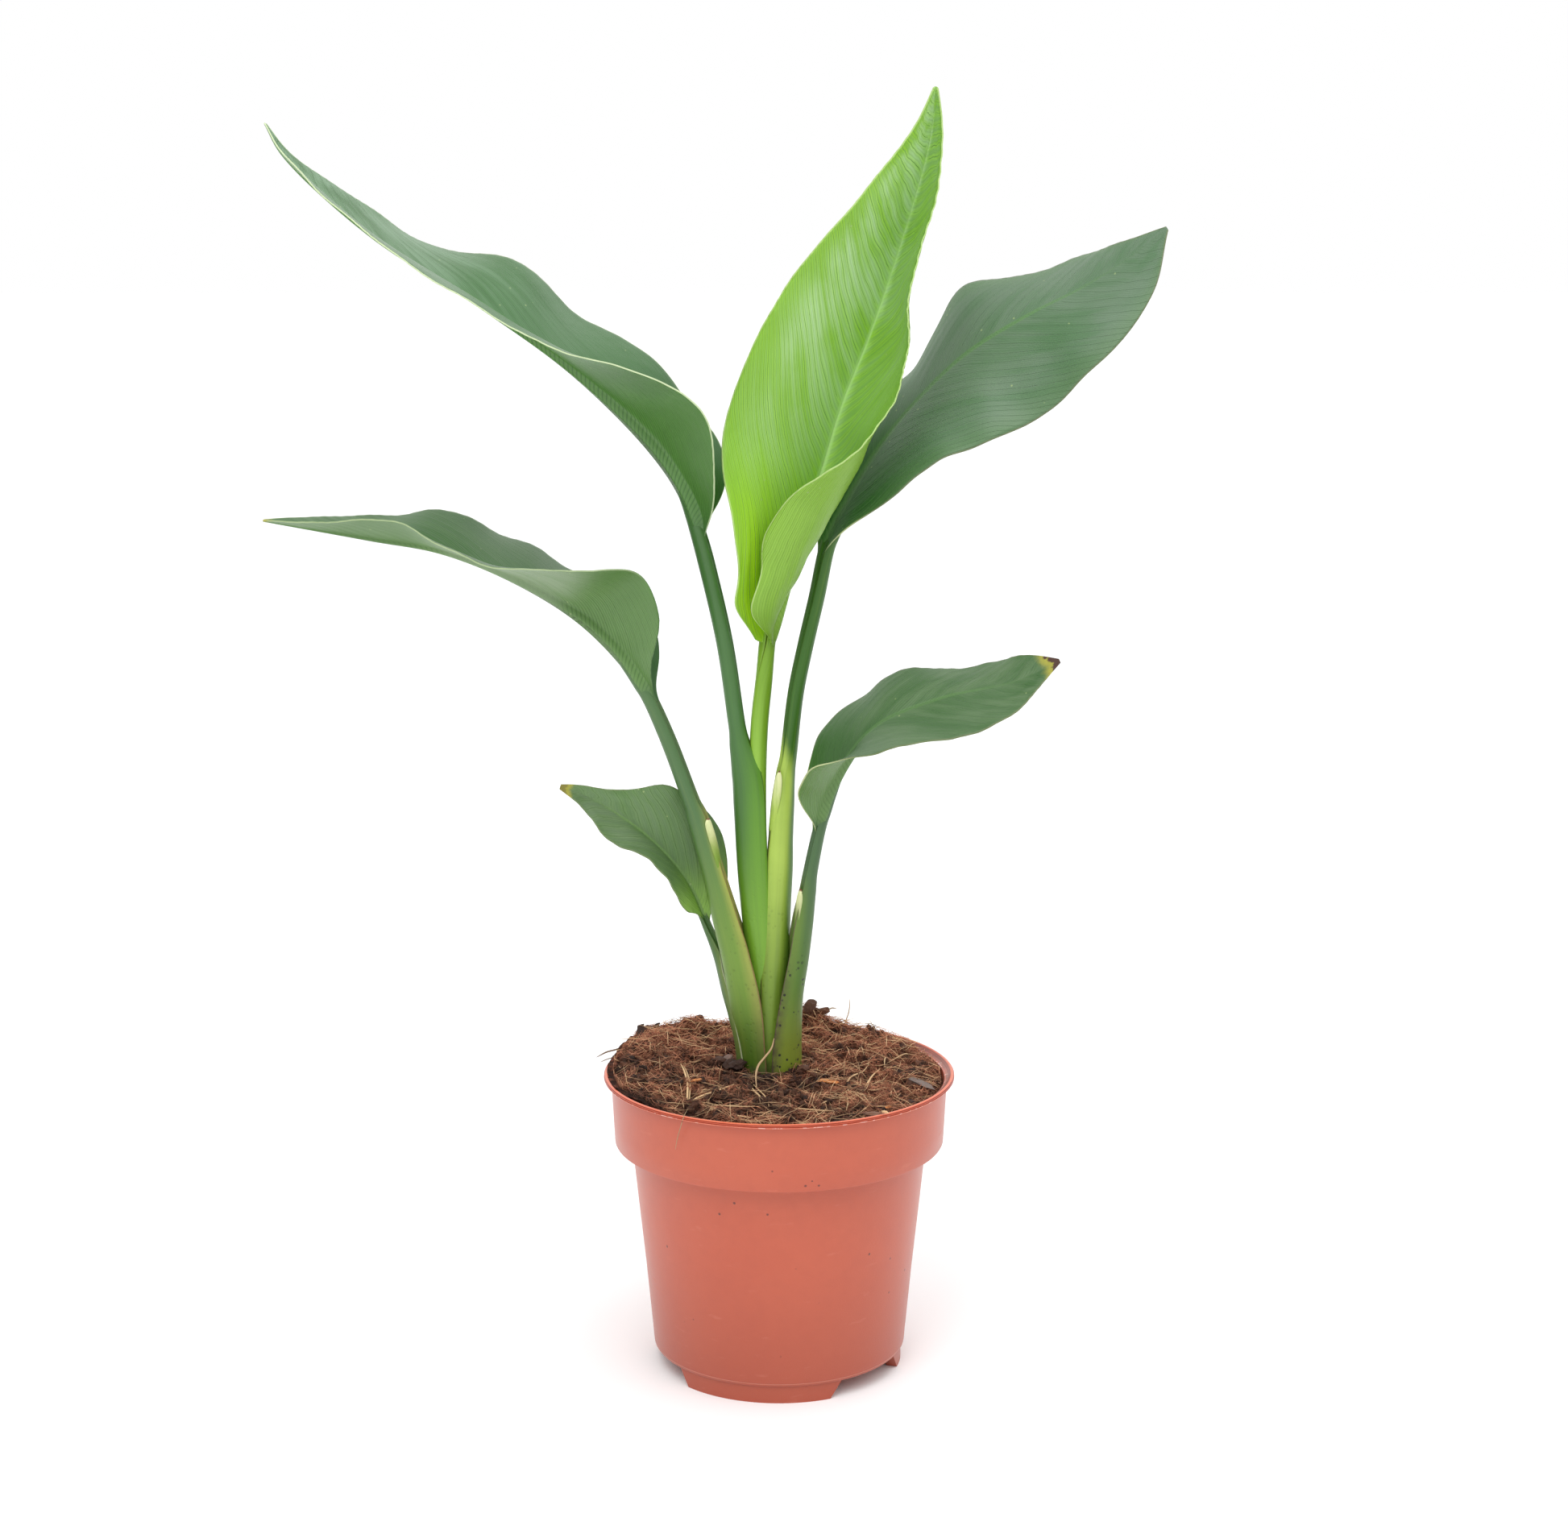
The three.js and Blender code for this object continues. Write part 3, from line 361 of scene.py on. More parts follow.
        "right": [[0, 2.4, -10, 0], [0.05, 6, -29, -30], [0.12, 13.5, -33, -30], [0.18, 18, -23, -30],
                  [0.26, 20.5, -14, -30], [0.32, 21, 2, -24], [0.4, 22, 21, -20], [0.5, 20.5, 28, -16],
                  [0.6, 21, 36, -12], [0.7, 19.5, 40, -12], [0.8, 16, 40, -12], [0.92, 6.5, 32, -8],
                  [1, 0.8, 30, 0]],
        "stalk": [[-1.2, 5.6, 91, 8.8, 8.6, 100, 1], [-1, 5.4, 103, 8.8, 8.6, 100, 1],
                  [-0.4, 5, 112, 8.2, 8, 102, 0.95], [1.95, 3.8, 128, 6.35, 6.4, 105, 0.8],
                  [5.3, 2.6, 142, 4.9, 5, 120, 0.55], [7.8, 1, 156, 4, 3.6, 135, 0.35],
                  [9.6, -0.5, 166, 3, 2.7, 146, 0.15], [10.6, -1.3, 173, 2.5, 2.4, 152, 0]],
    },
    "low_left": {
        "ribRadius": 1.6, "keel": 165, "turnFrom": 0.35, "pleat": 0.05, "pleatEvery": 6, "lean": (1.3, 0.04),
        "rib": [[-25, 12, 152], [-33, 10, 169], [-47, 8, 185], [-66, 6, 198], [-74, 5, 201]],
        "left": [[0, 1.8, -25, 0], [0.06, 2.5, -34, 0], [0.12, 8, -26, -6], [0.25, 10.5, -16, -10],
                 [0.45, 10, -13, -12], [0.52, 10.5, -19, -13], [0.6, 11, -30, -14], [0.7, 10.5, -40, -14],
                 [0.8, 7, -40, -10], [0.92, 3.5, -44, 0], [1, 0.8, -45, 0]],
        "right": [[0, 1.8, 75, 0], [0.06, 5.5, 80, 6], [0.12, 11, 84, 12], [0.2, 14.5, 84, 16],
                  [0.32, 19.5, 84, 18], [0.42, 20.5, 84, 18], [0.6, 18.5, 82, 16], [0.7, 10.5, 81, 14],
                  [0.8, 5.5, 83, 10], [0.92, 2.5, 88, 0], [1, 0.8, 90, 0]],
        "stalk": [[-5, 7, 91, 9.8, 9.6, 60, 1], [-6, 7, 110, 9.3, 9.4, 55, 1],
                  [-10.5, 7.8, 121, 7.3, 7, 60, 0.9], [-14.5, 8.6, 129, 5.5, 5, 75, 0.7],
                  [-17.8, 9.2, 137, 4, 3.8, 95, 0.4], [-20.9, 9.8, 143, 2.6, 2.4, 140, 0.1],
                  [-23.4, 10.8, 148, 1.9, 1.8, 150, 0]],
    },
}

bladeShape = {
    "stations": 150,
    "ribSteps": 7,  # from the rib out to where its swelling ends
    "laminaSteps": 20,
    "lamina": 0.42,
    "ribLift": 0.45,
    # the swelling along the rib, in radii of the rib: how far it reaches and how deep it is
    "ribReach": 1.25,
    "ribDepth": 1.45,
    "tipRib": 0.35,
    "ripple": 0.3,  # small waves along the margins
    "evening": 14,  # how often kinks along the margins are smoothed
    "footSize": 0.6,  # the blade starts this small, inside the stalk, and is full after footReach
    "footReach": 9.0,
}

stalkShape = {
    "stepsPerRow": 7,
    "sides": 30,
    "wall": 1.3,
    "groove": 0.2,
    "soilLevel": 100,
    "bareTop": 250,  # where a stalk without a sheath counts as bare
    # the stalk runs on under the blade as a neck: reach along the rib, share of the rib's radius, wrap
    "neck": ((3.0, 1.0, 142), (8.0, 0.97, 118), (14.0, 0.88, 104), (21.0, 0.6, 98)),
}


def ribFrames(leaf, places):
    # points, directions, fronts and sides of the midrib at places 0 to 1 of its length
    dense = spline(leaf["rib"], 60)
    length = np.r_[0, np.cumsum(np.linalg.norm(np.diff(dense, axis=0), axis=1))]
    ways = np.gradient(dense, length, axis=0)
    wanted = places * length[-1]
    at = np.stack([np.interp(wanted, length, dense[:, k]) for k in range(3)], axis=1)
    along = unit(np.stack([np.interp(wanted, length, ways[:, k]) for k in range(3)], axis=1))
    forward = np.array([0.0, -1.0, 0.0])
    front = unit(forward - (along @ forward)[:, None] * along)
    return at, along, front, np.cross(along, front), length[-1]


def upperWay(leaf, places, front, side):
    middle = np.radians(readRows(leaf["left"], places)[:, 1] + readRows(leaf["right"], places)[:, 1]) / 2
    return np.cos(middle)[:, None] * front + np.sin(middle)[:, None] * side


def makeBlade(name, leaf):
    shape = bladeShape
    even = np.linspace(0, 1, shape["stations"] + 1)
    places = 0.5 * even + 0.25 * (1 - np.cos(np.pi * even))
    at, along, front, side, length = ribFrames(leaf, places)
    thick = 0.5 * np.sqrt(places) + 0.5 * places
    ribRadius = leaf["ribRadius"] + (shape["tipRib"] - leaf["ribRadius"]) * thick
    up = upperWay(leaf, places, front, side)
    start = at + up * (shape["ribLift"] * ribRadius)[:, None]
    halves = {}
    for key, order in (("left", -1), ("right", 1)):
        width, direction, bend = readRows(leaf[key], places).T
        swell = np.minimum(shape["ribReach"] * ribRadius / width, 0.7)
        inner = np.linspace(0, 1, shape["ribSteps"])[None, :] * swell[:, None]
        steps = np.linspace(0, 1, shape["laminaSteps"] + 1)[1:]
        outer = swell[:, None] + (1 - swell[:, None]) * steps[None, :]
        u = np.concatenate([inner, outer], axis=1)
        a = np.radians(direction)[:, None]
        k = np.radians(np.where(np.abs(bend) < 0.1, 0.1, bend))[:, None]
        toFront = width[:, None] * (np.sin(a + k * u) - np.sin(a)) / k
        toSide = width[:, None] * (np.cos(a) - np.cos(a + k * u)) / k
        points = start[:, None] + toFront[..., None] * front[:, None] + toSide[..., None] * side[:, None]
        out = u * width[:, None]
        # where a vein leaves the rib, in mm; far apart on the two halves, so that their patterns differ
        vein = places[:, None] * length - leaf["lean"][0] * out - leaf["lean"][1] * out**2 + 400 * order
        halves[key] = {
            "points": points,
            "across": order * u,
            "along": np.repeat(places[:, None], u.shape[1], axis=1),
            "vein": vein,
            "edge": (1 - u) * width[:, None],
            "rib": out / ribRadius[:, None],
        }

    def wholeRow(key):
        return np.concatenate([halves["left"][key][:, :0:-1], halves["right"][key]], axis=1)

    grid = {key: wholeRow(key) for key in ("points", "across", "along", "vein", "edge", "rib")}
    foot = 1 - (1 - leaf.get("footSize", shape["footSize"])) * ease(places * length, shape["footReach"], 0)
    upper = at[:, None] + (grid["points"] - at[:, None]) * foot[:, None, None]
    share = np.abs(grid["across"])[1:-1, :, None]
    for _ in range(shape["evening"]):
        between = (upper[:-2] + upper[2:]) / 2
        upper[1:-1] += (between - upper[1:-1]) * 0.5 * share

    def normals(points):
        across = np.gradient(points, axis=1)
        way = np.gradient(points, axis=0)
        way[0] = along[0]
        way[-1] = along[-1]
        return unit(np.cross(across, way))

    fade = ease(grid["rib"], 1.0, 4.0) * ease(grid["along"], 0.02, 0.12) * ease(grid["along"], 1.0, 0.85)
    pleats = leaf["pleat"] * np.sin(2 * np.pi * grid["vein"] / leaf["pleatEvery"]) * fade
    waves = np.sin(grid["along"] * 31 + grid["across"] * 2) + 0.6 * np.sin(grid["along"] * 57 + 1.3)
    ripples = shape["ripple"] * waves * np.abs(grid["across"]) ** 4 * fade
    upper = upper + normals(upper) * (pleats + ripples)[..., None]
    inRib = 1 - np.minimum(grid["rib"] / shape["ribReach"], 1) ** 2
    swelling = np.maximum(0, shape["ribDepth"] * ribRadius[:, None] - shape["lamina"]) * inRib
    lower = upper - normals(upper) * ((shape["lamina"] + swelling) * foot[:, None])[..., None]
    points, faces, rim = slab(upper, lower)
    values = {key: np.tile(grid[key].ravel(), 2) for key in ("across", "along", "vein", "edge", "rib")}
    values["under"] = np.repeat([0.0, 1.0], upper.shape[0] * upper.shape[1])
    return makePiece(name, points, faces, rim, values)


def makeStalk(name, leaf):
    shape = stalkShape
    ribLength = ribFrames(leaf, np.array([0.0, 1.0]))[4]
    neck = leaf.get("neck", shape["neck"])
    reaches = [reach for reach, _, _ in neck]
    neckPoints = ribFrames(leaf, np.array(reaches) / ribLength)[0]
    rows = [list(row) for row in leaf["stalk"]]
    joint = len(rows)
    for point, (_, size, wrapped) in zip(neckPoints, neck):
        rows.append([*point, size * leaf["ribRadius"], size * leaf["ribRadius"], wrapped, 0])
    centres = spline([row[:3] for row in rows], shape["stepsPerRow"])
    ways = unit(np.gradient(centres, axis=0))
    count = len(centres)
    share = np.linspace(0, len(rows) - 1, count)
    sections = readRows([[i, *row[3:]] for i, row in enumerate(rows)], share)
    toKeel, halfWidth, wrap, openness = sections.T
    # the stalk's back turns from its side at the soil to the blade's underside at the joint
    onRib = np.interp(share, range(len(rows)), [0] * joint + reaches) / ribLength
    _, _, front, side, _ = ribFrames(leaf, onRib)
    keelTop = -upperWay(leaf, onRib, front, side)
    around = math.radians(leaf["keel"])
    keelFoot = np.array([math.cos(around), math.sin(around), 0.0])
    turn = ease(share / joint, leaf["turnFrom"], 1.0)[:, None]
    keel = keelFoot * (1 - turn) + keelTop * turn
    keel = unit(keel - np.sum(keel * ways, axis=1, keepdims=True) * ways)
    flank = np.cross(ways, keel)

    def onArc(v, inset):
        a = np.radians(wrap)[:, None] * v
        reach = (toKeel[:, None] - inset) * np.cos(a)
        spread = (halfWidth[:, None] - inset) * np.sin(a)
        return centres[:, None] + reach[..., None] * keel[:, None] + spread[..., None] * flank[:, None]

    v = np.linspace(-1, 1, shape["sides"] + 1)[None, :]
    outer = onArc(v, 0.0)
    arc = onArc(v, shape["wall"] * (0.3 + 0.7 * np.sqrt(1 - v * v)))
    tips = onArc(np.array([[-1.0, 1.0]]), shape["wall"] * 0.4)
    chord = tips[:, :1] + (tips[:, 1:] - tips[:, :1]) * ((v + 1) / 2)[..., None]
    dent = shape["groove"] * halfWidth[:, None] * (1 - v * v)
    chord = chord + dent[..., None] * keel[:, None]
    inner = chord + (arc - chord) * openness[:, None, None]
    points, faces, rim = slab(outer, inner)
    arcLength = (1 - np.abs(v)) * np.radians(wrap)[:, None] * halfWidth[:, None]
    # how far up the sheath a point is: 0 at the soil, 1 where the sheath ends, more along the bare stalk
    sheathTop = shape["bareTop"]
    if leaf["stalk"][0][6]:
        sheathTop = next(row[2] for row in leaf["stalk"] if row[6] == 0)
    climb = (centres[:, 2] - shape["soilLevel"]) / (sheathTop - shape["soilLevel"])
    values = {
        "climb": np.tile(np.repeat(climb, v.size), 2),
        "around": np.tile(v.ravel(), 2 * count),
        "sheath": np.tile(np.repeat(openness, v.size), 2),
        "edge": np.tile(arcLength.ravel(), 2),
        "inside": np.repeat([0.0, 1.0], count * v.size),
    }
    return makePiece(name, points, faces, rim, values)


# the thin tips that the sheaths end in, as rows of z, then x and y of the left edge and of the right edge
sheathTips = {
    "upper_right": ((206.8, -0.1, 3.4, 0.3, 3.2), (204.8, -1.1, 3.6, 0.9, 3.1), (199.3, -2.1, 4.0, 0.7, 3.0),
                    (193.8, -2.8, 4.2, -0.2, 3.1), (186, -3.6, 4.6, -2.0, 3.7)),
    "middle_left": ((191, -24.3, 0.2, -23.4, 1.0), (189.2, -24.8, -0.3, -22.7, 1.3),
                    (184.2, -23.7, -0.3, -21.2, 1.7), (178, -21.9, -0.3, -19.9, 1.9),
                    (170, -19.8, 0.1, -18.5, 1.4)),
    "low_right": ((167.2, 6.9, -1.4, 7.5, -2.5), (164.6, 6.1, -1.2, 7.9, -2.9), (160, 5.5, -0.6, 7.3, -2.8),
                  (155, 5.2, 0.2, 6.4, -2.3), (149, 5.0, 1.5, 6.0, -1.2)),
}
tipShape = {"steps": 9, "columns": 7, "thickness": 0.5, "bulge": 0.35}


def makeTip(name, rows):
    left = spline([(x, y, z) for z, x, y, _, _ in rows], tipShape["steps"])
    right = spline([(x, y, z) for z, _, _, x, y in rows], tipShape["steps"])
    u = np.linspace(0, 1, tipShape["columns"])[None, :, None]
    outward = unit(np.cross(right - left, np.array([0.0, 0.0, 1.0])))[:, None]
    outer = left[:, None] * (1 - u) + right[:, None] * u + outward * tipShape["bulge"] * 4 * u * (1 - u)
    inner = outer - outward * tipShape["thickness"] * (0.3 + 2.8 * u * (1 - u))
    points, faces, rim = slab(outer, inner)
    down = np.repeat(np.linspace(0, 1, len(left))[:, None], tipShape["columns"], axis=1)
    return makePiece(name, points, faces, rim, {"down": np.tile(down.ravel(), 2)})


def tipMaterial(name, look):
    material, bench = newMaterial(name)
    place = bench.place()
    stretched = bench.cloud(bench.vector("MULTIPLY", place, (1.0, 1.0, 0.1)), 900.0)
    ragged = bench.value("down") + (bench.cloud(place, 500.0) - 0.5) * 0.12
    colour = bench.layers(
        leafSkin["membrane"],
        (ragged.rise(0.15, 0.9), look["wing"]),
        (ragged.rise(0.35, 0.85) * look["tipFade"], look["sheath"]),
        (stretched.rise(0.45, 0.7) * 0.3, look["sheath"]),
        (ragged.rise(0.1, 0.04), leafSkin["dryTip"]))
    surface(bench, colour, 0.5 + stretched * 0.2, stretched, 0.0001, {"Specular IOR Level": 0.4})
    return material


# what each leaf looks like. face: the upper side; bloomAndSheen: its paler patches, partly a waxy bloom
# and partly painted sheen, which start at bloomAndSheenFrom along the rib; deep: its base and rims;
# rightHalfPaintedLight: the right half's colour, painted darker or lighter for how light falls on it;
# back and backDeep: the underside; paintedBackSheenFrom: where a painted sheen on the underside starts;
# wing: the sheath's thin side; foot: near the soil.
# The shows are strengths from 0 to 1.
looks = {
    "centre": {
        "face": tone(135, 186, 66), "bloomAndSheen": tone(180, 213, 160), "deep": tone(170, 224, 8),
        "back": tone(134, 178, 58), "backDeep": tone(108, 154, 34), "vein": tone(104, 152, 82),
        "rib": tone(172, 214, 128), "margin": tone(206, 226, 158), "rightHalfPaintedLight": tone(104, 154, 58),
        "rim": tone(124, 178, 34), "wingFrom": (0.25, 0.62),
        "bloomAndSheenFrom": (0.1, 0.65), "bloomAndSheenShow": 0.85, "rimShow": 0.7, "rightHalfPaintedLightShow": 0.7,
        "veinEvery": 4.3, "veinShow": 1.0, "hairShow": 0.22, "marginShow": 0.6,
        "stalk": tone(105, 147, 10), "wing": tone(140, 184, 60), "sheath": tone(108, 156, 34),
        "foot": tone(120, 165, 56), "footFrom": (0.5, 0.1), "line": tone(170, 190, 90),
        "gloss": 0.36,
    },
    "upper_left": {
        "face": tone(60, 108, 52), "bloomAndSheen": tone(114, 149, 113), "deep": tone(48, 98, 38),
        "back": tone(93, 138, 66), "backDeep": tone(44, 94, 25), "vein": tone(46, 92, 40),
        "rib": tone(96, 140, 78), "margin": tone(210, 224, 180),
        "rim": tone(66, 112, 50), "wingFrom": (0.3, 0.8),
        "bloomAndSheenFrom": (0.2, 0.95), "bloomAndSheenShow": 1.0, "rimShow": 0.1,
        "veinEvery": 7.0, "veinShow": 0.35, "hairShow": 0.25, "marginShow": 1.0,
        "stalk": tone(68, 110, 54), "wing": tone(92, 142, 34), "sheath": tone(51, 99, 9),
        "foot": tone(122, 170, 46), "footFrom": (0.8, 0.3), "line": tone(100, 144, 58),
        "gloss": 0.3,
    },
    "upper_right": {
        "face": tone(82, 116, 80), "bloomAndSheen": tone(104, 126, 103), "deep": tone(43, 100, 24),
        "back": tone(72, 118, 60), "backDeep": tone(56, 100, 44), "vein": tone(50, 88, 46),
        "rib": tone(92, 134, 76), "margin": tone(120, 118, 80),
        "paleVein": 0.5, "paleMargin": (0.14, 0.06),
        "rim": tone(94, 126, 80), "wingFrom": (0.2, 0.5), "wingTop": (0.94, 0.85),
        "bloomAndSheenFrom": (0.18, 0.5), "bloomAndSheenShow": 0.75, "rimShow": 0.4,
        "veinEvery": 6.0, "veinShow": 0.12, "hairShow": 0.12, "marginShow": 0.6,
        "stalk": tone(51, 98, 18), "wing": tone(167, 194, 80), "sheath": tone(84, 131, 24),
        "foot": tone(108, 140, 40), "footFrom": (0.7, 0.25), "line": tone(120, 110, 70),
        "stain": 0.1, "specks": 0.15, "dryFrom": 1.03, "gloss": 0.36,
    },
    "middle_left": {
        "face": tone(62, 105, 49), "bloomAndSheen": tone(80, 117, 66), "deep": tone(46, 90, 38),
        "back": tone(96, 134, 68), "backDeep": tone(74, 112, 50), "vein": tone(56, 94, 46),
        "rib": tone(112, 146, 88), "margin": tone(196, 210, 164),
        "rim": tone(76, 114, 60), "wingFrom": (0.68, 0.97),
        "bloomAndSheenFrom": (0.2, 0.6), "bloomAndSheenShow": 0.7, "rimShow": 0.2,
        "veinEvery": 6.5, "veinShow": 0.25, "hairShow": 0.12, "marginShow": 0.6,
        "paintedBackSheenShow": 1.0, "paintedBackSheenFrom": (0.27, 0.36), "tipFade": 0.9,
        "marginFrom": (0.2, 0.3), "backHair": 0.95,
        "stalk": tone(74, 108, 62), "wing": tone(158, 167, 76), "sheath": tone(113, 147, 49),
        "foot": tone(57, 87, 6), "footFrom": (0.4, 0.05), "line": tone(146, 106, 74),
        "stain": 0.25, "specks": 0.15, "dryFrom": 0.995, "gloss": 0.34,
    },
    "low_right": {
        "face": tone(64, 99, 54), "bloomAndSheen": tone(93, 119, 81), "deep": tone(49, 98, 22),
        "back": tone(98, 134, 70), "backDeep": tone(80, 116, 54), "vein": tone(54, 92, 44),
        "rib": tone(86, 124, 68), "margin": tone(122, 124, 84),
        "rim": tone(78, 116, 58), "wingFrom": (0.5, 0.9), "paleMargin": (0.36, 0.26),
        "bloomAndSheenFrom": (0.15, 0.5), "bloomAndSheenShow": 0.8, "rimShow": 0.15,
        "veinEvery": 6.5, "veinShow": 0.25, "hairShow": 0.16, "marginShow": 0.6,
        "stalk": tone(66, 100, 58), "wing": tone(98, 128, 42), "sheath": tone(80, 117, 26),
        "foot": tone(120, 132, 38), "footFrom": (0.5, 0.1), "line": tone(112, 92, 80),
        "stain": 0.9, "specks": 1.0, "dryFrom": 0.95, "burnt": 1.0, "gloss": 0.36,
    },
    "low_left": {
        "face": tone(80, 110, 62), "bloomAndSheen": tone(100, 122, 88), "deep": tone(146, 190, 76),
        "back": tone(94, 136, 64), "backDeep": tone(78, 118, 50), "vein": tone(60, 98, 48),
        "rib": tone(104, 140, 74), "margin": tone(122, 130, 88), "rightHalfPaintedLight": tone(110, 158, 76),
        "rim": tone(80, 118, 58), "wingFrom": (0.5, 0.9),
        "bloomAndSheenFrom": (0.2, 0.6), "bloomAndSheenShow": 0.7, "rimShow": 0.1, "rightHalfPaintedLightShow": 0.15,
        "veinEvery": 6.0, "veinShow": 0.2, "hairShow": 0.16, "marginShow": 0.5,
        "stalk": tone(66, 102, 48), "wing": tone(108, 130, 54), "sheath": tone(74, 110, 40),
        "foot": tone(88, 112, 44), "footFrom": (0.5, 0.1), "line": tone(196, 200, 166),
        "stain": 0.2, "specks": 0.1, "dryFrom": 0.95, "burnt": 0.45, "gloss": 0.4,
    },
}
# what a leaf has where its own look says nothing else
plainLook = {
    "rightHalfPaintedLight": tone(60, 104, 50), "rightHalfPaintedLightShow": 0.0, "marginFrom": (0.0, 0.03), "backHair": 0.6, "tipFade": 0.0,
    "wingTop": (0.93, 0.62), "stain": 0.0, "specks": 0.0, "dryFrom": 2.0, "burnt": 0.0,
    "paleVein": 0.0, "paleMargin": (2.0, 3.0), "paintedBackSheenShow": 0.0, "paintedBackSheenFrom": (0.0, 1.0),
}
leafSkin = {
    "hairEvery": 1.5, "backHairEvery": 1.8, "paleEvery": 2.6,  # mm between the finest lines
    "yellow": tone(166, 160, 60), "burnt": tone(74, 46, 36), "freckle": tone(168, 186, 126),
    "stain": tone(68, 54, 41), "speck": tone(30, 31, 18), "streak": tone(58, 92, 40),
    "soil": tone(60, 44, 32), "paintedBackSheen": tone(124, 147, 108),
    "membrane": tone(228, 230, 176), "dryTip": tone(120, 76, 52),
}


def bladeMaterial(name, look):
    material, bench = newMaterial(name)
    across, along, vein, edge, rib, under = (
        bench.value(key) for key in ("across", "along", "vein", "edge", "rib", "under"))
    place = bench.place()
    reach = abs(across)
    # clouds on the leaf, and streaks that follow the veins
    patch = bench.cloud(place, 34.0)
    mottle = bench.cloud(place, 190.0)
    grain = bench.cloud(place, 1100.0, 2.0)
    wobble = bench.cloud(bench.join(vein * 0.05, reach * 1.5, 2.0), 1.0, 2.0) - 0.5
    bent = vein + wobble * 7.0
    streak = bench.cloud(bench.join(bent * 0.2, reach * 1.3, under * 3.0), 1.0)
    sheen = bench.cloud(bench.join(bent * 0.06, reach * 1.6, 5.0), 1.0, 2.0)
    # the wider veins, and the hair lines between them
    swing = bench.waves(bent, look["veinEvery"])
    veinLine = swing.rise(0.965, 1.0) * rib.rise(1.3, 2.6)
    hair = bench.waves(bent, leafSkin["hairEvery"], mottle * 2.0).rise(-0.2, 1.0)
    backHair = bench.waves(vein, leafSkin["backHairEvery"]).rise(0.1, 1.0)
    paleLine = bench.waves(bent, leafSkin["paleEvery"]).rise(0.8, 1.0)
    # paler patches, partly a waxy bloom and partly painted sheen
    waxyAndSheen = (streak * 0.25 + sheen * 0.45 + patch * 0.3).rise(0.38, 0.58) * along.rise(*look["bloomAndSheenFrom"])
    waxyAndSheen = waxyAndSheen * (1 - reach.rise(0.62, 1.0) * look["rimShow"])
    upper = bench.layers(
        look["face"],
        (waxyAndSheen * look["bloomAndSheenShow"], look["bloomAndSheen"]),
        ((along + (sheen - 0.5) * 0.15).rise(0.36, 0.08) * 0.9, look["deep"]),
        (reach.rise(0.66, 1.0) * look["rimShow"], look["rim"]),
        # painted light and shade on the right half: it is darker on some leaves and lighter on others
        (across.rise(0.0, 0.12) * look["rightHalfPaintedLightShow"], look["rightHalfPaintedLight"]),
        # painted shade that swells and fades from one vein to the next, as across pleats
        ((swing * 0.5 + 0.5) * look["veinShow"] * 0.3, look["deep"]),
        (veinLine * look["veinShow"] * (0.4 + streak), look["vein"]),
        (hair * look["hairShow"], look["vein"]),
        (paleLine * along.rise(0.4, 0.12) * look["paleVein"], look["rib"]))
    # a pale streak painted on the underside beside the rib is a painted sheen; toward the tip it is darkened
    # again
    paintedBackSheenMask = along.rise(*look["paintedBackSheenFrom"]) * along.rise(0.66, 0.54) * look["paintedBackSheenShow"]
    lower = bench.layers(
        look["back"],
        (backHair * look["backHair"], look["backDeep"]),
        (patch.rise(0.42, 0.7) * 0.35 + streak * 0.2, look["backDeep"]),
        (paintedBackSheenMask * (0.5 + sheen.rise(0.3, 0.6) * 0.5), leafSkin["paintedBackSheen"]),
        (along.rise(0.58, 0.74) * look["paintedBackSheenShow"] * 0.6, look["backDeep"]))
    # the rib, the foot in the stalk's colour, freckles, a thin margin and dry ends
    ribLine = rib.rise(0.95, 0.4) * along.rise(1.0, 0.6) * (1 - under * 0.8)
    freckle = bench.cells(place, 300.0).rise(0.14, 0.07) * bench.cloud(place, 120.0, 1.0).rise(0.6, 0.64)
    marginLine = edge.rise(0.48, 0.22) * along.rise(*look["marginFrom"])
    marginTone = bench.blend(along.rise(*look["paleMargin"]), look["margin"], leafSkin["membrane"])
    dryTipsAndPaintedLight = look["dryFrom"]
    ragged = along + (mottle - 0.5) * 0.05 - (1 - reach) * 0.012
    yellow = ragged.rise(dryTipsAndPaintedLight - 0.025, dryTipsAndPaintedLight + 0.008)
    burnt = (ragged + (bench.cloud(place, 420.0) - 0.5) * 0.08).rise(dryTipsAndPaintedLight + 0.01, dryTipsAndPaintedLight + 0.026)
    colour = bench.layers(
        bench.blend(under, upper, lower),
        (ribLine * 0.75, look["rib"]),
        (along.rise(0.07, 0.0) * (under * 0.7 + 0.3), look["stalk"]),
        (freckle * 0.5, leafSkin["freckle"]),
        (marginLine * look["marginShow"] * (0.6 + mottle * 0.5), marginTone),
        (yellow * 0.9, leafSkin["yellow"]),
        (burnt * look["burnt"], leafSkin["burnt"]))
    bump = veinLine * -0.6 - hair * 0.2 * (1 - under) - backHair * 0.35 * under + streak * 0.5 + grain * 0.08
    roughness = look["gloss"] + patch * 0.1 + mottle * 0.05 + yellow * 0.2
    surface(bench, colour, roughness, bump, 0.00012, {"Specular IOR Level": 0.5})
    return material


